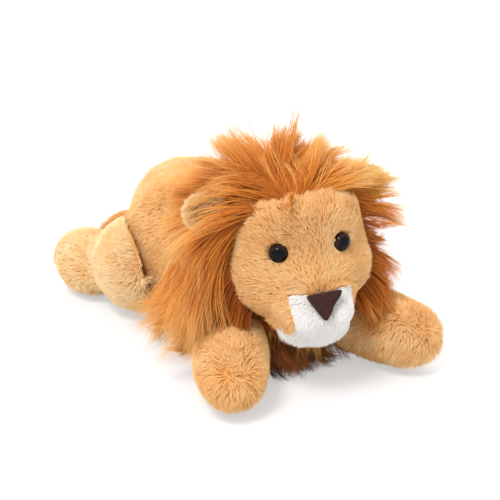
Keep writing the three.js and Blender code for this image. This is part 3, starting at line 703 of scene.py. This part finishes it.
def add_tail():
    surface = Surface(skin("tail_core", "tail", "gold_plush", ["tail"], voxel=2, rounds=8, depth=2.5))
    short_pile("tail_pile", "tail", "gold_plush", surface, one_way(LAY_BACK), 71, length=7, tone=0.25)
    tuft = skin("tuft_core", "tail", "amber_long_pile", ["tail_tuft"], voxel=2, rounds=10, depth=3)
    roots, normals = Surface(tuft).scatter(1.2, np.random.default_rng(72))
    middle = node_middle("tail_tuft")

    def flow(roots, normals):
        outward = normals * 0.4 + unit(roots - middle) * 0.4
        return normals + [0, 0.3, -0.4], outward + [0, 0.5, -0.5]

    long_pile("tail_tuft_pile", "tail", "amber_long_pile", roots, normals, flow, 73, lengths=20, tone=0.6)


# Head, all placed from the middle of the skull


# Edge of the face's short pile: degrees round the face from straight up, degrees from straight ahead
FACE_EDGE = [
    (-180, 66), (-155, 62), (-135, 63), (-110, 64), (-90, 69), (-75, 67), (-60, 62), (-45, 56), (-25, 48),
    (0, 47), (20, 49), (45, 61), (60, 66), (90, 69), (110, 64), (135, 63), (155, 62), (180, 66),
]
FACE_OVERLAP = 1.5  # degrees by which both piles pass it
NOSE_FROM_SKULL = np.array([0, -60, -22])

# White pile of the muzzle's pads and the chin
MUZZLE_LENGTH = 3.0
CHIN_LONGER = 3.4  # how much longer the pile is under the mouth
CHIN_LENGTHS = (-38, -50)  # heights over which it grows longer
CHIN_LAY = (-36, -46)  # heights over which it turns down
CHEEK_FILL = 8  # radius of the creases that stuffing fills round the pads
PAD_LIFT = 1.4  # of their pile above the head's skin
WHITE_TOP = -19
WHITE_SIDES = (-16.4, 18.8)  # its seams with the gold plush, across the head
WHITE_SEAM_LOW = -42  # where they end and the white chin begins
WHITE_REACH = (8.5, 5)  # how far past the pads, and past the chin, their pile runs on

EYE_RADIUS = 6.1
EYE_SUNK = 0.8
EYE_DOME = 5  # how high it stands
EYE_RIM = [(0.98, -6), (0.9, -6.6)]  # under it: share of the radius, and height
EYE_LAP = 0.6  # how far the pile laps over an eye
EYE_REACH = 15  # how far along its axis the pile leaves room for it
EYE_RINGS = [  # shares of its radius, and colours
    (0.0, (8, 4, 5)), (0.74, (10, 5, 6)), (0.84, (44, 26, 24)), (0.93, (46, 28, 26)), (1.0, (16, 9, 9)),
]
END_DEPTH = 5  # of a turned piece's outer end, to find its middle


def face_angles(points):
    """Degrees round the face from straight up, and degrees from straight ahead, of points in the head."""
    around = np.degrees(np.arctan2(points[:, 0], points[:, 2]))
    ahead = np.degrees(np.arccos(np.clip(-unit(points)[:, 1], -1, 1)))
    return around, ahead


def behind_edge(points):
    """How many degrees behind the face's edge points of the head lie."""
    around, ahead = face_angles(points)
    edge = np.array(FACE_EDGE, float)
    return ahead - np.interp(around, edge[:, 0], edge[:, 1])


def axis_frame(node):
    """A turned CAD piece's axis, outwards, and the middle of its outer end."""
    points = points_of(frame["nodes"][node].data)
    middle = points.mean(0)
    values, vectors = np.linalg.eigh(np.cov((points - middle).T))
    odd = 0 if values[1] - values[0] > values[2] - values[1] else 2
    axis = vectors[:, odd]
    skull = NECK + HEAD_TURNED @ np.array(HEAD_FROM_NECK)
    if axis @ (middle - skull) < 0:
        axis = -axis
    heights = (points - middle) @ axis
    centre = points[heights > heights.max() - END_DEPTH].mean(0)
    centre = centre + axis * (heights.max() - (centre - middle) @ axis)
    return axis, centre


EYES = {side: axis_frame(f"eye_{side}") for side in SIDES}


def off_axis(points, axis, centre):
    offset = points - centre
    return np.linalg.norm(offset - np.outer(offset @ axis, axis), axis=1)


def face_lay(roots, normals):
    """Away from the nose, over the face."""
    local = in_head(roots)
    return from_head(unit(local - NOSE_FROM_SKULL)) * 0.8


def on_face(roots, normals):
    kept = behind_edge(in_head(roots)) < FACE_OVERLAP
    for axis, centre in EYES.values():
        beside = off_axis(roots, axis, centre) > EYE_RADIUS - EYE_LAP
        kept &= beside | (np.abs((roots - centre) @ axis) > EYE_REACH)
    return kept


def chin_length(roots):
    """Velvet over the muzzle, and longer pile under the mouth."""
    return MUZZLE_LENGTH + CHIN_LONGER * smooth_step(*CHIN_LENGTHS, in_head(roots)[:, 2])


def muzzle_lay(roots, normals):
    """Away from the nose and down, and more so on the chin."""
    local = in_head(roots)
    chin = smooth_step(*CHIN_LAY, local[:, 2])[:, None] * np.array([0, -0.1, -0.6])
    return from_head(unit(local - NOSE_FROM_SKULL) * 0.45 + [0, 0, -0.3] + chin)


def add_head():
    pads = ["muzzle_left", "muzzle_right", "chin"]
    muzzle = Surface(skin("muzzle", "head", "white_plush", pads, voxel=1.5, rounds=12, depth=1.8))
    obj = skin("head", "head", "gold_plush", ["head_skin", "head_stuffing"], voxel=2.2,
               filled=CHEEK_FILL, shaped_by=pads)
    surface = Surface(obj)
    pad_points = muzzle.points[::4].reshape(-1, 3)  # every fourth triangle is enough

    def on_pads(roots):
        reach = np.where(in_head(roots)[:, 2] > WHITE_SEAM_LOW, *WHITE_REACH)
        _, distance = nearest(roots, pad_points)
        return distance < reach

    def lift(roots):
        return PAD_LIFT * on_pads(roots)

    def white(roots, normals):
        local = in_head(roots)
        between = (local[:, 0] > WHITE_SIDES[0]) & (local[:, 0] < WHITE_SIDES[1])
        return (local[:, 2] < WHITE_TOP) & (between | (local[:, 2] < WHITE_SEAM_LOW)) & on_pads(roots)

    def gold(roots, normals):
        return on_face(roots, normals) & ~white(roots, normals)

    short_pile("face_pile", "head", "gold_plush", surface, face_lay, 21, length=5.5, density=4, keep=gold,
               width=0.44, lift=lift)
    short_pile("muzzle_pile", "head", "white_plush", surface, muzzle_lay, 31, length=chin_length,
               density=5, keep=white, swirl=0.4, tone=0.7, width=0.42, lift=lift)
    return surface


def smooth_mesh(name, points, faces):
    mesh = bpy.data.meshes.new(name)
    mesh.from_pydata((points * MM).tolist(), [], faces)
    shade_smooth(mesh)
    return mesh


def ring_faces(start, rings, steps):
    """Faces from ring to ring, each of so many points, the first of which begins at start."""
    faces = []
    for first in range(start, start + (rings - 1) * steps, steps):
        second = first + steps
        for k in range(steps):
            following = (k + 1) % steps
            faces.append((first + k, second + k, second + following, first + following))
    return faces


def lathe(name, profile, axis, centre, steps=48):
    """A smooth turned dome: profile points are (radius, height) from the outer end inwards."""
    off_line = [0.3, 0.2, 1.0]  # any direction that isn't the axis
    side = unit(np.cross(axis, off_line))
    up = np.cross(axis, side)
    angles = np.linspace(0, 2 * np.pi, steps, endpoint=False)
    circle = np.outer(np.cos(angles), side) + np.outer(np.sin(angles), up)
    rings = [centre + axis * height + radius * circle for radius, height in profile[1:]]
    last = 1 + (len(rings) - 1) * steps
    faces = [(0, 1 + k, 1 + (k + 1) % steps) for k in range(steps)]
    faces += ring_faces(1, len(rings), steps)
    faces.append(tuple(range(last, last + steps))[::-1])
    return smooth_mesh(name, np.concatenate([[centre + axis * profile[0][1]], *rings]), faces)


def eye_material():
    """Black glossy plastic, with a brown ring round the pupil."""
    material, tree, shader = new_material("eye_plastic", roughness=0.06, specular=0.14)
    place = new_node(tree, "Attribute")
    place.attribute_name = "from_axis"
    tree.links.new(ramp(tree, place.outputs["Fac"], EYE_RINGS), shader.inputs["Base Color"])
    return material


def add_eyes():
    material = eye_material()
    angles = np.linspace(0.1, math.pi / 2, 14)
    dome = [(0, 0)] + [(EYE_RADIUS * math.sin(a), -EYE_DOME * (1 - math.cos(a))) for a in angles]
    dome += [(EYE_RADIUS * share, height) for share, height in EYE_RIM]
    for side, (axis, end) in EYES.items():
        centre = end - axis * EYE_SUNK
        mesh = lathe(f"eye_{side}_dome", dome, axis, centre)
        from_axis = off_axis(points_of(mesh), axis, centre) / EYE_RADIUS
        attribute = mesh.attributes.new("from_axis", "FLOAT", "POINT")
        attribute.data.foreach_set("value", from_axis.astype(np.float32))
        obj = add_object(f"eye_{side}_dome", mesh, "head", material)
        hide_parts(f"eye_{side}")


def nose_material():
    """Flocked matte plastic."""
    material, tree, shader, grains = grained_material(
        "nose_flock", (50, 28, 24), (68, 41, 36), scale=900, roughness=0.8, specular=0.15, sheen=0.05
    )
    bump = new_node(tree, "Bump", {"Strength": 0.25, "Distance": 0.0003, "Height": grains})
    tree.links.new(bump.outputs["Normal"], shader.inputs["Normal"])
    return material


# Nose: the corners of its face, across and up from its middle, and how it is moulded
NOSE_CORNERS = [(-12.0, 6.4), (12.0, 6.4), (-1.6, -11.6)]
NOSE_ROUNDING = 2.1
NOSE_PROUD = 0.4  # its middle, before the CAD's
NOSE_CROWN = 1.1  # how far it falls from there to its edge
NOSE_EDGE = 1.3
NOSE_WALL = 4.2
NOSE_FRONT = 2  # depth of the CAD's face, to find its middle
NOSE_STEPS = 96  # round its outline
NOSE_SHARES = (0.06, 1, 16)  # its rings, in shares of the outline: from, to, how many
NOSTRIL_AT = (5.6, -2.6)
NOSTRIL_SIZE = (3.2, 1.3)
NOSTRIL_DEPTH = 2.4
NOSTRIL_TILT = -58  # degrees from level, on its left side


def rounded_outline(corners, rounding, count):
    """Points round a polygon, with its corners rounded off."""
    loop = np.array([*corners, corners[0]], float)
    lengths = np.linalg.norm(np.diff(loop, axis=0), axis=1)
    stops = np.concatenate([[0], np.cumsum(lengths)])
    places = np.linspace(0, stops[-1], count, endpoint=False)
    points = np.stack([np.interp(places, stops, loop[:, k]) for k in range(2)], axis=1)
    step = stops[-1] / count
    offsets = np.arange(-count // 4, count // 4 + 1)
    weights = np.exp(-0.5 * (offsets * step / rounding) ** 2)
    moved = [np.roll(points, offset, axis=0) * weight for offset, weight in zip(offsets, weights)]
    return np.sum(moved, axis=0) / weights.sum()


def nostril_dent(flat):
    """How deep the nostrils dent the nose's face at some points."""
    total = np.zeros(len(flat))
    for side in (-1, 1):
        offset = flat - np.array(NOSTRIL_AT) * [side, 1]
        angle = math.radians(NOSTRIL_TILT) * -side
        along_it = offset @ [math.cos(angle), math.sin(angle)]
        across_it = offset @ [-math.sin(angle), math.cos(angle)]
        total += np.exp(-((along_it / NOSTRIL_SIZE[0]) ** 2) - (across_it / NOSTRIL_SIZE[1]) ** 2)
    return total * NOSTRIL_DEPTH


def add_nose():
    axis, _ = axis_frame("nose_washer")
    points = points_of(frame["nodes"]["nose"].data)
    across = unit(along(axis[None], (HEAD_TURNED @ [1, 0, 0])[None]))[0]
    up = np.cross(across, axis) * -1
    heights = points @ axis
    face = points[heights > heights.max() - NOSE_FRONT]
    middle = (face.min(0) + face.max(0)) / 2
    middle = middle + axis * (heights.max() - middle @ axis)

    outline = rounded_outline(NOSE_CORNERS, NOSE_ROUNDING, NOSE_STEPS)
    centre = outline.mean(0)
    radius = np.linalg.norm(outline - centre, axis=1)
    rows = []
    for share in np.linspace(*NOSE_SHARES):
        flat = centre + (outline - centre) * share
        from_edge = np.clip(radius * (1 - share) / NOSE_EDGE, 0, 1)
        bevel = NOSE_EDGE * (1 - np.sqrt(1 - (1 - from_edge) ** 2))
        rows.append((flat, NOSE_PROUD - NOSE_CROWN * share**2 - bevel - nostril_dent(flat)))
    rows.append((outline, np.full(NOSE_STEPS, -NOSE_WALL)))
    rings = [
        middle + flat[:, :1] * across + flat[:, 1:] * up + height[:, None] * axis for flat, height in rows
    ]
    last = (len(rings) - 1) * NOSE_STEPS
    faces = [tuple(range(NOSE_STEPS))[::-1], *ring_faces(0, len(rings), NOSE_STEPS)]
    faces.append(tuple(range(last, last + NOSE_STEPS)))
    mesh = smooth_mesh("nose_flocked", np.concatenate(rings), faces)
    fixed = bmesh.new()
    fixed.from_mesh(mesh)
    bmesh.ops.recalc_face_normals(fixed, faces=fixed.faces)
    fixed.to_mesh(mesh)
    fixed.free()
    obj = add_object("nose_flocked", mesh, "head", nose_material())
    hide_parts("nose")


# Ears


EAR_FOOT = np.array([42, 2, 13])  # from the middle of the skull, on the lion's left
EAR_SHARE = 0.76  # of its CAD solid's size, which holds its pile too
EAR_LINING = 12  # its radius

# Space before the right ear that the mane leaves free. The left ear is under the mane
EAR_SHOWN = np.array([-4.0, 0, 0])  # from the ear's middle
EAR_MOUTH = 8  # its radius
EAR_ALONG = (-7, 33)  # where it starts and ends
EAR_RISES = 0.22


def ear_foot(side):
    return EAR_FOOT * [SIDES[side], 1, 1]


def ear_front(side):
    """The way that an ear opens, from its lining towards its mouth."""
    return unit(node_middle(f"ear_lining_{side}") - node_middle(f"ear_{side}"))


def clear_of_ear(paths):
    """Which strands leave the right ear's mouth free."""
    opening = unit(ear_front("right") + [0, 0, EAR_RISES])
    offset = paths - node_middle("ear_right") - from_head(EAR_SHOWN)
    ahead = offset @ opening
    aside = np.linalg.norm(offset - ahead[..., None] * opening, axis=2)
    return ~((aside < EAR_MOUTH) & (ahead > EAR_ALONG[0]) & (ahead < EAR_ALONG[1])).any(axis=1)


def add_ear(side, seed):
    body = f"ear_{side}"
    nodes = [f"ear_{side}", f"ear_lining_{side}"]
    obj = skin(f"ear_{side}_core", body, "gold_plush", nodes, voxel=1.4, rounds=4, depth=1.2, filled=10)
    foot = from_head(ear_foot(side) + HEAD_FROM_NECK) + NECK
    for vertex in obj.data.vertices:
        vertex.co = Vector(foot * MM).lerp(vertex.co, EAR_SHARE)
    surface = Surface(obj)
    opening = ear_front(side)
    middle = node_middle(*nodes)

    def inside(roots, normals):
        return (normals @ opening > 0.35) & (np.linalg.norm(roots - middle, axis=1) < EAR_LINING)

    def lay(roots, normals):
        return unit(roots - middle) * 0.5

    short_pile(f"ear_{side}_pile", body, "gold_plush", surface, lay, seed, length=5, density=3.5,
               keep=lambda roots, normals: ~inside(roots, normals), tone=1.0)
    short_pile(f"ear_{side}_lining_pile", body, "cream_plush", surface, lay, seed + 1, length=6,
               density=3.5, keep=inside, tone=1.0)


# Mane


# How the mane is combed, round the face's edge and over the back of the head. Each row: degrees
# round the face from straight up, towards the lion's left; a strand's first and last directions in
# the head's frame; its length
FRONT_COMB = [
    (-180, (0, -0.3, -0.9), (0, -0.1, -1), 42),
    (-150, (-0.1, -0.25, -0.95), (0.45, -0.1, -0.9), 50),
    (-120, (-0.4, -0.1, -0.85), (0.1, 0.05, -1), 68),
    (-95, (-0.6, 0, -0.75), (-0.15, 0.1, -0.98), 80),
    (-75, (-0.7, 0.1, -0.6), (-0.2, 0.15, -0.96), 86),
    (-60, (-0.7, 0.05, -0.5), (-0.2, 0.14, -0.96), 84),
    (-48, (-0.75, 0.1, -0.42), (-0.24, 0.16, -0.95), 76),
    (-40, (-0.9, 0.2, -0.15), (-0.75, 0.4, -0.5), 64),
    (0, (-0.6, 0.35, 0.55), (-0.9, 0.55, 0), 50),
    (45, (0.85, 0.3, 0.1), (0.75, 0.3, -0.55), 38),
    (60, (0.7, 0.25, -0.3), (0.5, 0.3, -0.8), 34),
    (75, (0.6, 0.25, -0.5), (0.4, 0.25, -0.9), 34),
    (95, (0.55, 0.2, -0.6), (0.35, 0.25, -0.9), 36),
    (120, (0.6, 0.05, -0.7), (0.3, 0.2, -0.95), 42),
    (150, (0.2, -0.2, -0.9), (-0.3, -0.1, -0.95), 46),
]
BACK_COMB = [
    (-180, (0, 0.5, -0.7), (0, 0.4, -0.9), 38),
    (-135, (-0.5, 0.5, -0.5), (-0.3, 0.4, -0.9), 46),
    (-90, (-0.65, 0.5, -0.45), (-0.3, 0.35, -0.9), 56),
    (-45, (-0.7, 0.6, 0.1), (-0.5, 0.6, -0.65), 52),
    (-10, (-0.05, 0.75, 0.5), (-0.05, 0.9, -0.45), 44),
    (45, (0.6, 0.6, 0), (0.4, 0.6, -0.75), 44),
    (90, (0.5, 0.45, -0.55), (0.25, 0.35, -0.95), 44),
    (135, (0.5, 0.5, -0.5), (0.3, 0.4, -0.9), 46),
]

BACK_STARTS = (15, 60)  # degrees behind the face's edge over which the back comb takes over

# Crown: a fan that gives way to the combs over these degrees round the face and behind its edge
CROWN_RIGHT = (-48, -38)
CROWN_LEFT = (52, 36)
CROWN_BEHIND = (78, 42)
CROWN_PART = np.array([-8.0, -42.0, 30.0])  # what it fans out from
CROWN_FAN = [1.5, 0.6, 1]  # how much each axis counts in it
CROWN_LENGTH = 49

MANE_LOW = -42  # height of its lowest roots
MANE_SLOPE = 0.35  # how much lower they are for each millimetre further back
MANE_BEHIND = 16  # where the nape's panel starts
MANE_ABOVE = 52  # degrees round the face, where the crown's panel ends
EAR_ROOM = 12  # round an ear's foot

MANE_TONE = 0.52
LOW_PAINTED_SHADE = 0.2  # painted shade, low beside the face's edge where the mane meets it
TOP_PAINTED_LIGHT = 0.36  # painted light, over the head's upper left

FORELOCK_AROUND = (-32, -10)  # degrees round the face


def combed(comb, around):
    """First directions, last directions and lengths of strands at some angles round the face."""
    whole = [*comb, (180, *comb[0][1:])]
    rows = np.array([(angle, *first, *last, length) for angle, first, last, length in whole], float)
    columns = np.stack([np.interp(around, rows[:, 0], rows[:, k]) for k in range(1, 8)], axis=1)
    return np.column_stack([unit(columns[:, :3]), unit(columns[:, 3:6]), columns[:, 6]])


def fanned(local):
    """The same for the crown, fanned out from where it parts, with tips that drop towards its sides."""
    fan = unit((local - CROWN_PART) * CROWN_FAN)
    aside = fan[:, 0]
    spread = np.abs(aside)
    right, left = np.maximum(-aside, 0), np.maximum(aside, 0)
    back = 0.3 + 0.2 * spread
    rise = 0.7 - 1.6 * spread**1.4 - 0.35 * right
    last = unit(fan * 0.4 + np.stack([aside, back, rise], axis=1))
    return np.column_stack([fan, last, CROWN_LENGTH - 4 * right - 16 * left**2])


def mane_comb(local):
    """The whole mane's comb at points of the head, in the head's frame."""
    around, _ = face_angles(local)
    behind = behind_edge(local)
    back = smooth_step(*BACK_STARTS, behind)
    crown = smooth_step(*CROWN_RIGHT, around) * smooth_step(*CROWN_LEFT, around)
    crown = crown * smooth_step(*CROWN_BEHIND, behind)
    comb = combed(FRONT_COMB, around)
    for share, other in ((back, combed(BACK_COMB, around)), (crown, fanned(local))):
        comb = comb * (1 - share[:, None]) + other * share[:, None]
    return unit(comb[:, :3]), unit(comb[:, 3:6]), comb[:, 6]


def mane_flow(roots, normals):
    """The comb, kept from running into the head."""
    first, last, _ = mane_comb(in_head(roots))
    return unit(from_head(first) + normals * 0.45), from_head(last)


def add_mane(surface):
    roots, normals = surface.scatter(MANE_DENSITY, np.random.default_rng(41))
    local = in_head(roots)
    kept = behind_edge(local) > -FACE_OVERLAP
    kept &= local[:, 2] + MANE_SLOPE * local[:, 1] > MANE_LOW
    for side in SIDES:
        kept &= np.linalg.norm(local - ear_foot(side), axis=1) > EAR_ROOM
    roots, normals, local = roots[kept], normals[kept], local[kept]
    around, _ = face_angles(local)
    lengths = mane_comb(local)[2]
    # painted shade: mane rooted low beside the face's edge is darker
    low = smooth_step(60, 130, np.abs(around)) * smooth_step(22, 0, behind_edge(local))
    # painted light: mane on the head's upper left is lighter
    painted_top_light = TOP_PAINTED_LIGHT * smooth_step(-8, 20, local[:, 0]) * smooth_step(10, 38, local[:, 2])
    tone = MANE_TONE - LOW_PAINTED_SHADE * low + painted_top_light
    behind = local[:, 1] > MANE_BEHIND
    above = np.abs(around) < MANE_ABOVE
    beside = ~behind & ~above
    panels = {
        "mane_crown": ~behind & above,
        "mane_nape": behind,
        "mane_left": beside & (local[:, 0] > 0),
        "mane_right": beside & (local[:, 0] <= 0),
    }
    for i, (name, own) in enumerate(panels.items()):
        long_pile(f"{name}_pile", "head", "amber_long_pile", roots[own], normals[own], mane_flow, 50 + i,
                  lengths[own], tone=tone[own], clear=clear_of_ear, stands_for=[name])


def add_forelock(surface):
    """Short locks that hang over the forehead where the crown parts."""
    roots, normals = surface.scatter(9, np.random.default_rng(48))
    local = in_head(roots)
    around, _ = face_angles(local)
    kept = np.abs(behind_edge(local) - 0.5) < 2
    kept &= (around > FORELOCK_AROUND[0]) & (around < FORELOCK_AROUND[1])
    roots, normals = roots[kept], normals[kept]

    def flow(roots, normals):
        first, last = from_head(np.array([[-0.2, -0.4, 0], [-0.1, -0.2, -1.0]]))
        return first + normals * 0.3, last[None]

    long_pile("forelock_pile", "head", "amber_long_pile", roots, normals, flow, 49, lengths=8,
              tone=0.3, locks=(18, 60), width=0.36)


# Ruff and bib: the mane's lower parts, on the torso


def add_hanging(surface, name, slot, middle, radii, density, first, last, length, tone, seeds):
    """Long pile, rooted where the torso is inside an ellipsoid that is placed from the neck."""
    roots, normals = surface.scatter(density, np.random.default_rng(seeds[0]))
    kept = np.linalg.norm((roots - NECK - np.array(middle)) / np.array(radii), axis=1) < 1

    def flow(roots, normals):
        return normals * 0.7 + first, np.broadcast_to(last, normals.shape)

    long_pile(f"{name}_pile", "torso", slot, roots[kept], normals[kept], flow, seeds[1], length, tone=tone,
              stands_for=[name])


def add_ruff(surface):
    for side, way in SIDES.items():
        add_hanging(surface, f"ruff_{side}", "amber_long_pile", middle=(way * 48, 30, -14),
                    radii=(40, 27, 34), density=1.4, first=[0, 0, -0.5], last=[way * 0.08, 0.1, -1.0],
                    length=52, tone=0.55, seeds=(61 + way, 64 + way))
    add_hanging(surface, "chest_bib", "umber_long_pile", middle=(0, -10, -34), radii=(30, 28, 26),
                density=2.0, first=[0.05, -0.25, -0.4], last=[0.2, -0.5, -1.0], length=44, tone=0.6,
                seeds=(68, 69))


# Stage


def add_facing(name, data, place, direction):
    obj = bpy.data.objects.new(name, data)
    obj.location = place
    obj.rotation_euler = Vector(direction).to_track_quat("-Z", "Y").to_euler()
    scene_objects.link(obj)
    return obj


def add_camera():
    up, around = math.radians(CAMERA_UP), math.radians(CAMERA_ROUND)
    back = np.array([math.sin(around) * math.cos(up), -math.cos(around) * math.cos(up), math.sin(up)])
    target = np.array([*(NECK[:2] + TARGET_FROM_NECK), 0])
    data = bpy.data.cameras.new("camera")
    data.lens = CAMERA_LENS
    data.sensor_width = CAMERA_SENSOR
    data.clip_start = 0.01
    bpy.context.scene.camera = add_facing("camera", data, (target + back * CAMERA_DISTANCE) * MM, -back)


def add_lamp(name, place, size, power):
    data = bpy.data.lights.new(name, "AREA")
    data.size = size
    data.energy = power
    add_facing(name, data, place, Vector(LAMP_AIM) - Vector(place))


def seen_directly(tree):
    """1 on rays from the camera, or by way of a gloss or a clear piece, and 0 on the light's own."""
    path = new_node(tree, "LightPath")
    total = path.outputs["Is Camera Ray"]
    for ray in ("Is Glossy Ray", "Is Transmission Ray"):
        add = new_node(tree, "Math", {0: total, 1: path.outputs[ray]})
        add.operation = "ADD"
        add.use_clamp = True
        total = add.outputs[0]
    return total


def mixed_shaders(tree, factor, first, second):
    return new_node(tree, "MixShader", {0: factor, 1: first, 2: second}).outputs[0]


def add_world():
    world = bpy.data.worlds.new("studio")
    bpy.context.scene.world = world
    world.use_nodes = True
    tree = world.node_tree
    lighting = tree.nodes["Background"]
    set_inputs(tree, lighting, {"Color": (*WORLD_LIGHT, 1)})
    white = new_node(tree, "Background", {"Color": (1, 1, 1, 1)})
    look = mixed_shaders(tree, seen_directly(tree), lighting.outputs[0], white.outputs[0])
    tree.links.new(look, tree.nodes["World Output"].inputs["Surface"])


def diffuse(tree, grey):
    return new_node(tree, "BsdfDiffuse", {"Color": (grey, grey, grey, 1)}).outputs[0]


def floor_material():
    """White where nothing shades it, and greyer where the lion does."""
    material, tree, _ = new_material("floor", 0.9, 0.0)
    glow = new_node(tree, "Emission", {"Strength": FLOOR_GLOW})
    seen = new_node(tree, "AddShader", {0: diffuse(tree, FLOOR_SHADED), 1: glow.outputs[0]})
    look = mixed_shaders(tree, seen_directly(tree), diffuse(tree, FLOOR_BOUNCE), seen.outputs[0])
    tree.links.new(look, tree.nodes["Material Output"].inputs["Surface"])
    return material


def add_floor():
    mesh = bpy.data.meshes.new("floor")
    corners = [(x * FLOOR_HALF, y * FLOOR_HALF, 0) for x, y in ((-1, -1), (1, -1), (1, 1), (-1, 1))]
    mesh.from_pydata(corners, [], [(0, 1, 2, 3)])
    mesh.materials.append(floor_material())
    floor = bpy.data.objects.new("floor", mesh)
    scene_objects.link(floor)


def add_washers():
    """Pale plastic on the CAD's own washers, inside the head."""
    material, tree, shader = new_material("washer_plastic", roughness=0.35, specular=0.5)
    colour = new_node(tree, "RGB")
    colour.outputs[0].default_value = linear(216, 216, 214)
    tree.links.new(colour.outputs[0], shader.inputs["Base Color"])
    for name in ("eye_washer_left", "eye_washer_right", "nose_washer"):
        mesh = frame["nodes"][name].data
        mesh.materials.clear()
        mesh.materials.append(material)


add_camera()
add_world()
for lamp_name, lamp in LAMPS.items():
    add_lamp(lamp_name, *lamp)
add_floor()

torso_surface = add_torso()
for leg_seed, leg_name in enumerate(LEGS):
    for side_seed, side_name in enumerate(SIDES):
        add_leg(leg_name, side_name, 12 + 2 * leg_seed + side_seed)
add_tail()
head_surface = add_head()
add_eyes()
add_nose()
for ear_seed, ear_side in enumerate(SIDES):
    add_ear(ear_side, 81 + 2 * ear_seed)
add_mane(head_surface)
add_forelock(head_surface)
add_ruff(torso_surface)
add_washers()

bpy.context.view_layer.update()
